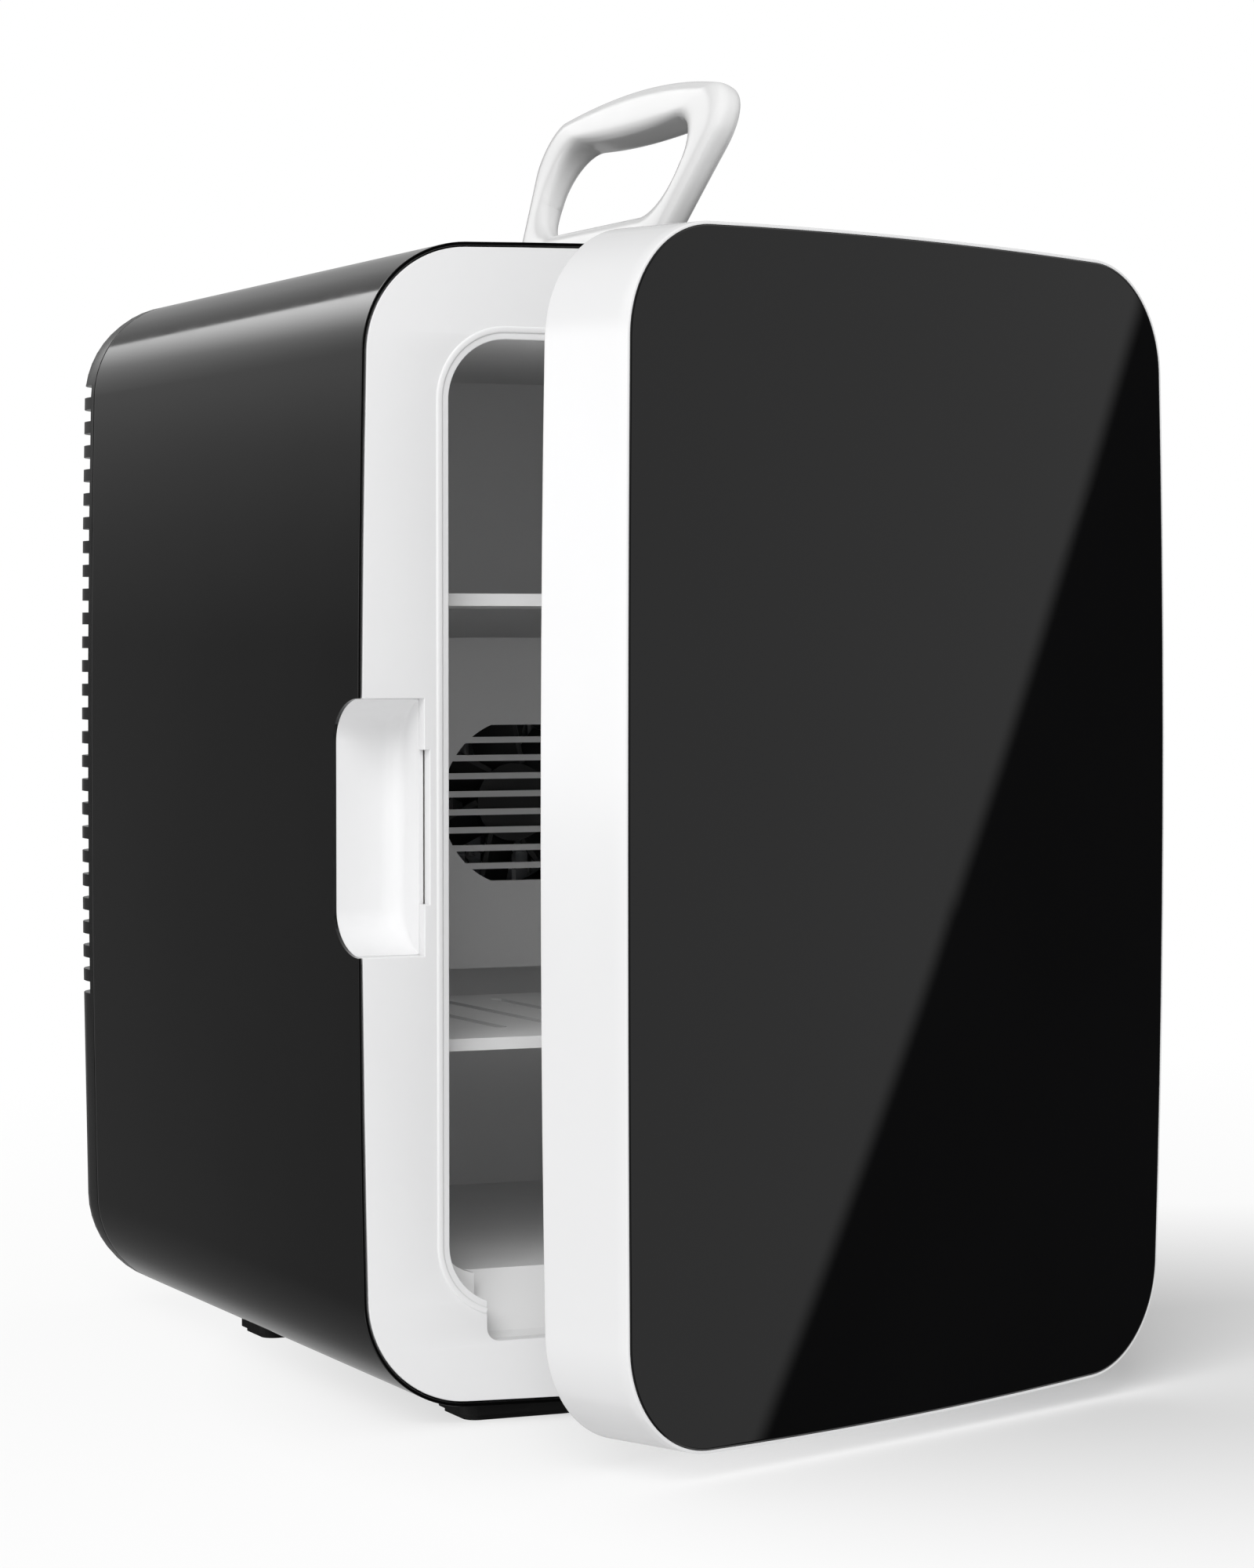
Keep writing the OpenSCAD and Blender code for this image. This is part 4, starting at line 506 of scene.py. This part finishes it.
def fillet(c, p, q, r, n):
    """Points round a corner of radius r at c, on the way from p to q."""
    c, p, q = Vector(c), Vector(p), Vector(q)
    a, b = (p - c).normalized(), (q - c).normalized()
    half = math.acos(max(-1, min(1, a.dot(b)))) / 2
    m = c + (a + b).normalized() * r / math.sin(half)
    s, e = c + a * r / math.tan(half) - m, c + b * r / math.tan(half) - m
    a0 = math.atan2(s.y, s.x)
    sweep = (math.atan2(e.y, e.x) - a0 + 3 * math.pi) % (2 * math.pi) - math.pi
    angles = [a0 + sweep * i / n for i in range(n + 1)]
    return [m + Vector((math.cos(a), math.sin(a))) * r for a in angles]


def loop_line(b, t, v0, v1, radii):
    """A rounded outline of the loop: half lengths b and t at heights v0 and v1."""
    rb, rt = radii
    bl, br, tl, tr = (-b, v0), (b, v0), (-t, v1), (t, v1)
    parts = [fillet(bl, br, tl, rb, 12), fillet(tl, bl, tr, rt, 16),
             fillet(tr, tl, br, rt, 16), fillet(br, tr, bl, rb, 12)]
    out = []
    for part, nxt, n in zip(parts, parts[1:] + parts[:1], (10, 30, 10, 24)):
        out += part + [part[-1].lerp(nxt[0], i / n) for i in range(1, n)]
    return out


def grip_part(v, top):
    return max(0.0, min(1.0, v / top)) ** 3


def raised(line, t, top, rise):
    """Lifts the grip's stretch of an outline by up to rise at its middle."""
    return [p + Vector((0, rise * grip_part(p.y, top) * max(0, 1 - (p.x / t) ** 2))) for p in line]


def squared(s, power):
    return math.copysign(abs(s) ** power, s)


def build_handle():
    top, half = RISE - GRIP_H, TOP_L - LEG_TOP
    outer = loop_line(BASE_L, TOP_L, -BAR_BELOW, RISE, OUTER_R)
    inner = loop_line(BASE_L - LEG_FOOT, half, BAR_ABOVE, top, INNER_R)
    rings = []
    for p, q in zip(raised(outer, TOP_L, RISE, ARCH), raised(inner, half, top, -SWELL)):
        mid, reach = (p + q) / 2, (p - q) / 2
        grip = grip_part(mid.y, (RISE + top) / 2)
        t = LEG_T + (GRIP_T - LEG_T) * grip
        ring = []
        for j in range(SECTION_POINTS):
            a = 2 * math.pi * (j + 0.5) / SECTION_POINTS
            # Round outside, and squarer on the grip's underside
            power = SECTION_POWER - (0 if math.cos(a) > 0 else GRIP_SQUARER * grip)
            m = mid + reach * squared(math.cos(a), power)
            ring.append((squared(math.sin(a), power) * t / 2, m.x, m.y))
        rings.append(ring)
    obj = link("handle_loop", loft("handle_loop", rings, closed=True), place_handle(), smooth_deg=80)
    low = -SLOT_REACH
    for side in (-1, 1):
        ends = [side * BRACKET_Y + k * (BRACKET_W / 2 + SIDE_CLEAR) for k in (-1, 1)]
        # A pocket for the lug's eye, and below it a slot right through for its stem
        for x, z in ((POCKET, POCKET), (SLOT_REACH, STEM_TOP)):
            slot = [[(-x, y, low), (x, y, low), (x, y, z), (-x, y, z)] for y in ends]
            cut(obj, link("cutter", loft("cutter", slot), place_handle()))
    clean(obj, smooth_deg=40, dissolve_deg=0)
    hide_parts("carry_handle")
    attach(obj, "handle")
    return obj


# ---------- Materials ----------


def node_of(tree, kind, **values):
    node = tree.nodes.new(kind)
    for key, value in values.items():
        if key in node.inputs:
            node.inputs[key].default_value = value
        else:
            setattr(node, key, value)
    return node


def feed(tree, sockets, sources):
    """Sets each socket to its source, or links the source where it is another node's socket."""
    for socket, source in zip(sockets, sources):
        if isinstance(source, bpy.types.NodeSocket):
            tree.links.new(source, socket)
        else:
            socket.default_value = source


def new_material(name):
    mat = bpy.data.materials.new(name)
    mat.use_nodes = True
    tree = mat.node_tree
    return mat, tree, tree.nodes["Principled BSDF"]


def noise(tree, coords, scale, detail=2.0, stretch=None):
    """A noise in cells per metre; stretch scales its axes."""
    node = node_of(tree, "ShaderNodeTexNoise", Scale=scale, Detail=detail)
    source = coords.outputs["Object"]
    if stretch:
        mapping = tree.nodes.new("ShaderNodeMapping")
        mapping.inputs["Scale"].default_value = stretch
        tree.links.new(source, mapping.inputs["Vector"])
        source = mapping.outputs["Vector"]
    tree.links.new(source, node.inputs["Vector"])
    return node.outputs["Fac"]


def ranged(tree, source, low, high, start=0.3, stop=0.7, ease="LINEAR"):
    """low before start, high after stop, and a change between them that is straight or smooth."""
    node = node_of(tree, "ShaderNodeMapRange", interpolation_type=ease)
    for key, value in (("From Min", start), ("From Max", stop), ("To Min", low), ("To Max", high)):
        node.inputs[key].default_value = value
    tree.links.new(source, node.inputs["Value"])
    return node.outputs["Result"]


def tint(color, factor):
    return tuple(min(1.0, c * factor) for c in color) + (1.0,)


def color_mix(tree, factor, low, high):
    """A colour node between two colours, whose first input is the factor between them."""
    mix = tree.nodes.new("ShaderNodeMix")
    mix.data_type = "RGBA"
    feed(tree, (mix.inputs[0], mix.inputs[6], mix.inputs[7]), (factor, low, high))
    return mix.outputs[2]


def bumped(tree, shader, height, strength, depth):
    """Raises the surface by up to depth mm where height is 1."""
    rise = node_of(tree, "ShaderNodeBump", Strength=strength, Distance=depth * MM)
    tree.links.new(height, rise.inputs["Height"])
    tree.links.new(rise.outputs["Normal"], shader.inputs["Normal"])


def surface(name, color, rough, vary, patch, rough_vary, grain, bump, depth, stretch=None, **sockets):
    """A finish whose tone, gloss and grain vary over it, as FINISHES says."""
    mat, tree, shader = new_material(name)
    coords = tree.nodes.new("ShaderNodeTexCoord")
    tone = ranged(tree, noise(tree, coords, patch, 3.0, stretch), 0, 1)
    tree.links.new(color_mix(tree, tone, tint(color, 1 - vary), tint(color, 1 + vary)),
                   shader.inputs["Base Color"])
    worn = noise(tree, coords, patch * 6, 5.0, stretch)
    tree.links.new(ranged(tree, worn, max(0.0, rough - rough_vary), rough + rough_vary),
                   shader.inputs["Roughness"])
    if bump:
        bumped(tree, shader, noise(tree, coords, grain, 2.0, stretch), bump, depth)
    for key, value in sockets.items():
        shader.inputs[key.replace("_", " ")].default_value = value
    return mat


# Each finish: its colour and roughness; how much its tone varies, and the patches in cells per metre;
# how much its roughness varies; and its grain in cells per metre, with its strength and height in mm
FINISHES = {
    "shell_black": ((0.012, 0.012, 0.012), 0.08, 0.08, 7, 0.02, 1500, 0.03, 0.02),
    "cover_black": ((0.012, 0.012, 0.012), 0.25, 0.08, 9, 0.03, 1500, 0.06, 0.02),
    "bezel_white": ((0.84, 0.84, 0.845), 0.34, 0.015, 8, 0.04, 1300, 0.04, 0.02),
    "liner_white": ((0.82, 0.82, 0.82), 0.45, 0.01, 8, 0.04, 900, 0.03, 0.02),
    "door_white": ((0.80, 0.80, 0.805), 0.12, 0.012, 7, 0.03, 700, 0.02, 0.02),
    "glass_black": ((0.003, 0.003, 0.0032), 0.006, 0.15, 6, 0.003, 0, 0, 0),
    "handle_white": ((0.78, 0.78, 0.78), 0.16, 0.012, 20, 0.03, 900, 0.02, 0.02),
    "foot_rubber": ((0.004, 0.004, 0.004), 0.6, 0.15, 60, 0.08, 3000, 0.4, 0.05),
    "gasket_grey": ((0.4, 0.41, 0.42), 0.5, 0.05, 40, 0.06, 2500, 0.2, 0.04),
    "insulation": ((0.8, 0.79, 0.74), 0.85, 0.06, 60, 0.08, 500, 0.7, 0.8),
    "bulkhead_grey": ((0.38, 0.38, 0.39), 0.45, 0.05, 20, 0.06, 1500, 0.2, 0.05),
    "screw_steel": ((0.62, 0.63, 0.64), 0.3, 0.08, 60, 0.08, 2500, 0.1, 0.02),
    "screw_black": ((0.045, 0.045, 0.05), 0.38, 0.15, 60, 0.08, 2500, 0.15, 0.02),
    "aluminium": ((0.8, 0.81, 0.82), 0.32, 0.05, 40, 0.08, 1200, 0.15, 0.03),
    "fan_black": ((0.015, 0.015, 0.015), 0.4, 0.12, 40, 0.06, 2200, 0.2, 0.03),
    "coil_tape": ((0.72, 0.52, 0.06), 0.35, 0.08, 60, 0.08, 1800, 0.3, 0.05),
    "can_black": ((0.02, 0.022, 0.05), 0.32, 0.1, 80, 0.06, 1500, 0.1, 0.02),
    "nylon": ((0.82, 0.79, 0.7), 0.45, 0.05, 60, 0.06, 1500, 0.15, 0.03),
    "ceramic": ((0.85, 0.85, 0.82), 0.6, 0.03, 60, 0.06, 3000, 0.25, 0.02),
    "socket_black": ((0.014, 0.014, 0.014), 0.36, 0.12, 50, 0.05, 2600, 0.25, 0.03),
    "lamp_green": ((0.04, 0.42, 0.12), 0.12, 0.08, 80, 0.03, 1500, 0.05, 0.02),
    "lead_red": ((0.5, 0.02, 0.02), 0.4, 0.06, 60, 0.05, 2500, 0.1, 0.03),
    "lead_grey": ((0.12, 0.12, 0.125), 0.42, 0.08, 60, 0.05, 2500, 0.1, 0.03),
}
# What only some finishes have: shader settings, and the stretch of a brushed or wound surface
EXTRAS = {
    "handle_white": {"Specular_IOR_Level": 0.3},
    "foot_rubber": {"Specular_IOR_Level": 0.2},
    "screw_steel": {"Metallic": 1.0},
    "screw_black": {"Metallic": 0.6},
    "aluminium": {"Metallic": 1.0, "stretch": (1, 0.08, 1)},
    "coil_tape": {"stretch": (1, 1, 6)},
    "lamp_green": {"Transmission_Weight": 0.4, "IOR": 1.49},
}


def materials():
    finishes = {name: surface(name, *row, **EXTRAS.get(name, {})) for name, row in FINISHES.items()}
    paint_shade_on_front_edges(finishes["shell_black"])
    finishes["board_green"] = board_finish()
    return finishes


def paint_shade_on_front_edges(mat):
    """Paints shade on the cut edges that look forwards, round the bezel and the recesses: they go near
    black, as the shadowed seam there looks.
    """
    tree = mat.node_tree
    color = tree.nodes["Principled BSDF"].inputs["Base Color"]
    plain = color.links[0].from_socket
    facing = tree.nodes.new("ShaderNodeSeparateXYZ")
    tree.links.new(tree.nodes.new("ShaderNodeTexCoord").outputs["Normal"], facing.inputs[0])
    aside = ranged(tree, facing.outputs["Y"], 0, 1, -0.6, -0.2)
    # The near black where the normal looks forwards is painted shade, not the plastic's own colour
    tree.links.new(color_mix(tree, aside, (0.001, 0.001, 0.001, 1), plain), color)


def board_finish():
    """Green soldermask with raised copper tracks."""
    mat, tree, shader = new_material("board_green")
    coords = tree.nodes.new("ShaderNodeTexCoord")
    turn = tree.nodes.new("ShaderNodeMapping")
    turn.inputs["Rotation"].default_value = (math.pi / 2, 0, 0)
    tree.links.new(coords.outputs["Object"], turn.inputs["Vector"])
    tracks = node_of(tree, "ShaderNodeTexBrick",
                     **{"Scale": 120.0, "Mortar Size": 0.06, "Mortar Smooth": 0.3})
    tree.links.new(turn.outputs["Vector"], tracks.inputs["Vector"])
    height = tracks.outputs["Fac"]
    tree.links.new(color_mix(tree, height, (0.01, 0.12, 0.035, 1), (0.03, 0.24, 0.07, 1)),
                   shader.inputs["Base Color"])
    bumped(tree, shader, height, 0.4, 0.05)
    tree.links.new(ranged(tree, noise(tree, coords, 60), 0.2, 0.34), shader.inputs["Roughness"])
    return mat


# ---------- Studio ----------

# The camera in the case frame: place in mm, lens in mm on a frame 36 mm high, tilt and turn in degrees
CAMERA_AT, LENS, FRAME_H = (-555.2, -1164.4, 55.0), 99.0, 36.0
CAMERA_TILT, CAMERA_TURN = 88.057, -24.09
# The key light: place and aim in metres, side in metres and power in watts
KEY_AT, KEY_AIM, KEY_SIDE, KEY_POWER = (-3.3, -4.2, 4.3), (0, 0, 0.2), 4.0, 238
# Levels of the world's light on the object and of the backdrop in reflections
FILL, BACKDROP = 0.64, 1.0
# The floor: half its side in metres, its colour, and the share of white that it throws back
FLOOR_HALF, FLOOR_TONE, BOUNCE = 8.0, 0.86, 0.5
# Where the floor keeps most of its shadow, and how it goes to white: distances in metres and shares
SHADOW_AT = (0.22, -0.10, 0)
SHADOW_NEAR, NEAR_SHARES = (0.12, 0.38), (0.1, 0.88)
SHADOW_FAR, FAR_SHARES = (0.38, 1.0), (0, 0.12)
# What glossy surfaces see: level, turns and rises in degrees
PANELS = (
    (0.6, (15, 20, 60, 75), (-3, 3, 60, 70)),
    (3.5, (-128, -122, -60, -50), (-3.2, -1.6, 3, 22)),
    (0.3, (-150, -130, -60, -50), (-14, -9, -3.2, -1.6)),
    (0.6, (-150, -130, -40, -30), (-70, -60, -18, -12)),
    (0.03, (115, 135, 178, 181), (-90, -89, 35, 50)),
)
# What the shell's side and corners see: level by turn
SIDE_TURNS, SIDE_RISES = (-75, -55, 28, 34), (-90, -89, 55, 70)
SIDE_LEVELS = ((-55, 0.06), (-20, 0.063), (-17, 0.098), (-10, 0.135), (-5, 0.17),
               (0, 0.22), (5, 0.32), (9, 0.42), (16, 0.5), (28, 0.7))
# A window that grows brighter with the rise: level by rise, the turns where it starts and ends with the
# share left past its end, and the rises where it stops
WINDOW_LEVELS = ((0.3, 0.0), (2.0, 0.055), (3.5, 0.14), (5.0, 0.28), (8.0, 0.38), (10.5, 0.5),
                 (12.5, 0.66), (14.0, 0.92), (16.0, 1.4), (18.0, 2.0), (20.0, 2.6))
WINDOW_START, WINDOW_EDGE, PAST_EDGE = (-46, -36), (-4.5, -3.9), 0.05
WINDOW_TOP = (27, 34)
# The window light in the door's glass: the normal of its slanted edge and that edge's softness, the
# direction it is seen in and how near to it, and the levels on the edge's two sides
GLASS_EDGE, EDGE_SOFT = (0.24207, 0.85377, -0.46095), 0.004
GLASS_VIEW, VIEW_NEAR = (0.959, -0.286, 0.0), (0.9, 0.93)
GLASS_BRIGHT, GLASS_DARK = 0.64, 0.025


def build_camera():
    data = bpy.data.cameras.new("camera")
    data.sensor_fit, data.sensor_height, data.lens = "VERTICAL", FRAME_H, LENS
    data.clip_start, data.clip_end = 0.05, 60.0
    cam = bpy.data.objects.new("camera", data)
    cam.location = (Vector(CAMERA_AT) + CASE) * MM
    cam.rotation_euler = (math.radians(CAMERA_TILT), 0, math.radians(CAMERA_TURN))
    bpy.context.scene.collection.objects.link(cam)
    bpy.context.scene.camera = cam


def math_node(tree, operation, *sources):
    node = node_of(tree, "ShaderNodeMath", operation=operation)
    feed(tree, node.inputs, sources)
    return node.outputs[0]


def eased(tree, source, start, stop, low=0.0, high=1.0):
    return ranged(tree, source, low, high, start, stop, "SMOOTHSTEP")


def toward(tree, direction, axis):
    """How far the direction that is looked in lies along an axis."""
    node = node_of(tree, "ShaderNodeVectorMath", operation="DOT_PRODUCT")
    tree.links.new(direction, node.inputs[0])
    node.inputs[1].default_value = axis
    return node.outputs["Value"]


def ramp(tree, source, stops):
    """A level that runs in straight lines between stops of (place, level)."""
    first, last = stops[0][0], stops[-1][0]
    peak = max(level for _, level in stops)
    node = tree.nodes.new("ShaderNodeValToRGB")
    points = node.color_ramp.elements
    for at, level in stops[1:-1]:
        points.new((at - first) / (last - first)).color = (level / peak,) * 3 + (1,)
    points[0].color = (stops[0][1] / peak,) * 3 + (1,)
    points[-1].color = (stops[-1][1] / peak,) * 3 + (1,)
    place = ranged(tree, source, 0, 1, first, last)
    tree.links.new(place, node.inputs["Fac"])
    return math_node(tree, "MULTIPLY", node.outputs["Color"], peak)


def blended(tree, mask, level, other):
    """level where mask is 0 and other where it is 1."""
    node = tree.nodes.new("ShaderNodeMix")
    feed(tree, (node.inputs[0], node.inputs[2], node.inputs[3]), (mask, level, other))
    return node.outputs[0]


def mixed_shader(tree, share, first, second):
    """A shader node that goes from the first to the second as the share goes from 0 to 1."""
    mix = tree.nodes.new("ShaderNodeMixShader")
    feed(tree, mix.inputs, (share, first.outputs[0], second.outputs[0]))
    return mix


def build_world():
    world = bpy.data.worlds.new("studio")
    world.use_nodes = True
    tree = world.node_tree
    tree.nodes.clear()
    out = tree.nodes.new("ShaderNodeOutputWorld")
    direction = tree.nodes.new("ShaderNodeTexCoord").outputs["Generated"]
    split = tree.nodes.new("ShaderNodeSeparateXYZ")
    tree.links.new(direction, split.inputs[0])
    # Degrees up from the horizon, and round from straight behind the fridge to its right
    rise = math_node(tree, "MULTIPLY", math_node(tree, "ARCSINE", split.outputs["Z"]), 180 / math.pi)
    turn = math_node(tree, "ARCTAN2", split.outputs["X"], split.outputs["Y"])
    turn = math_node(tree, "MULTIPLY", turn, 180 / math.pi)

    def patch(level, seen, turns, rises):
        """Sets a level inside four turns and four rises.

        It fades in over the first two of each and out over the last two.
        """
        mask = eased(tree, turn, turns[0], turns[1])
        mask = math_node(tree, "MULTIPLY", mask, eased(tree, turn, turns[2], turns[3], 1, 0))
        mask = math_node(tree, "MULTIPLY", mask, eased(tree, rise, rises[0], rises[1]))
        mask = math_node(tree, "MULTIPLY", mask, eased(tree, rise, rises[2], rises[3], 1, 0))
        return blended(tree, mask, seen, level)

    window = ramp(tree, rise, WINDOW_LEVELS)
    window = math_node(tree, "MULTIPLY", window, eased(tree, turn, *WINDOW_EDGE, 1, PAST_EDGE))
    window = math_node(tree, "MULTIPLY", window, eased(tree, rise, *WINDOW_TOP, 1, 0))
    window = math_node(tree, "MULTIPLY", window, eased(tree, turn, *WINDOW_START))
    side = math_node(tree, "ADD", ramp(tree, turn, SIDE_LEVELS), window)
    seen = patch(side, BACKDROP, SIDE_TURNS, SIDE_RISES)
    for level, turns, rises in PANELS:
        seen = patch(level, seen, turns, rises)
    past_edge = toward(tree, direction, GLASS_EDGE)
    lit = eased(tree, past_edge, -EDGE_SOFT, EDGE_SOFT, GLASS_BRIGHT, GLASS_DARK)
    near = eased(tree, toward(tree, direction, GLASS_VIEW), *VIEW_NEAR)
    seen = blended(tree, near, seen, lit)

    gloss = tree.nodes.new("ShaderNodeBackground")
    tree.links.new(seen, gloss.inputs["Strength"])
    fill = node_of(tree, "ShaderNodeBackground", Color=WHITE, Strength=FILL)
    back = node_of(tree, "ShaderNodeBackground", Color=WHITE, Strength=1.0)
    path = tree.nodes.new("ShaderNodeLightPath")
    on_object = mixed_shader(tree, path.outputs["Is Glossy Ray"], fill, gloss)
    unlit = math_node(tree, "MAXIMUM", path.outputs["Is Camera Ray"], path.outputs["Is Transmission Ray"])
    tree.links.new(mixed_shader(tree, unlit, on_object, back).outputs[0], out.inputs["Surface"])
    bpy.context.scene.world = world


def build_key_light():
    data = bpy.data.lights.new("key", "AREA")
    data.shape, data.size, data.size_y, data.energy = "RECTANGLE", KEY_SIDE, KEY_SIDE, KEY_POWER
    lamp = bpy.data.objects.new("key", data)
    lamp.location = KEY_AT
    lamp.rotation_euler = (Vector(KEY_AIM) - Vector(KEY_AT)).to_track_quat("-Z", "Y").to_euler()
    lamp.visible_camera = lamp.visible_glossy = False
    bpy.context.scene.collection.objects.link(lamp)


def build_floor():
    bm = bmesh.new()
    corners = ((-1, -1), (1, -1), (1, 1), (-1, 1))
    bm.faces.new([bm.verts.new((x * FLOOR_HALF, y * FLOOR_HALF, 0)) for x, y in corners])
    floor = bpy.data.objects.new("floor", mesh_of(bm, "floor"))
    bpy.context.scene.collection.objects.link(floor)
    mat = bpy.data.materials.new("floor_white")
    mat.use_nodes = True
    tree = mat.node_tree
    tree.nodes.clear()
    out = tree.nodes.new("ShaderNodeOutputMaterial")
    matt = node_of(tree, "ShaderNodeBsdfDiffuse", Color=(FLOOR_TONE,) * 3 + (1,))
    glow = node_of(tree, "ShaderNodeEmission", Color=WHITE, Strength=1.0)
    path = tree.nodes.new("ShaderNodeLightPath")
    coords = tree.nodes.new("ShaderNodeTexCoord")
    # The shadow shows most beside the door, and the floor fades to white further out
    away = node_of(tree, "ShaderNodeVectorMath", operation="DISTANCE")
    tree.links.new(coords.outputs["Object"], away.inputs[0])
    away.inputs[1].default_value = SHADOW_AT
    near = ranged(tree, away.outputs["Value"], *NEAR_SHARES, *SHADOW_NEAR)
    far = ranged(tree, away.outputs["Value"], *FAR_SHARES, *SHADOW_FAR)
    fade = math_node(tree, "ADD", near, far)
    share = blended(tree, path.outputs["Is Camera Ray"], BOUNCE, fade)
    tree.links.new(mixed_shader(tree, share, matt, glow).outputs[0], out.inputs["Surface"])
    floor.data.materials.append(mat)
    floor.visible_glossy = False


# ---------- Assembly ----------


def main():
    finishes = materials()
    slots = {part["node"]: part["material_slot"] for part in frame["record"]["subparts"]}

    def dress(obj, slot):
        obj.data.materials.clear()
        obj.data.materials.append(finishes[slot])

    for node, obj in NODES.items():
        finish = finishes[slots[node]]
        if obj.material_slots:
            for s in obj.material_slots:
                s.material = finish
        else:
            obj.data.materials.append(finish)

    dress(build_shell(), "shell_black")
    for piece in build_bezel():
        dress(piece, "bezel_white")
    dress(build_recess(-1, "grip_recess", "grip_cup"), "bezel_white")
    dress(build_recess(1, "hinge_pocket", "hinge_cup"), "bezel_white")
    dress(build_door_frame(), "door_white")
    dress(build_door_glass(), "glass_black")
    dress(build_handle(), "handle_white")
    dress(refined("handle_brackets", 0.3), "handle_white")
    dress(refined("rear_cover"), "cover_black")

    build_world()
    build_key_light()
    build_floor()


build_camera()
main()
bpy.context.scene.view_settings.view_transform = "Standard"
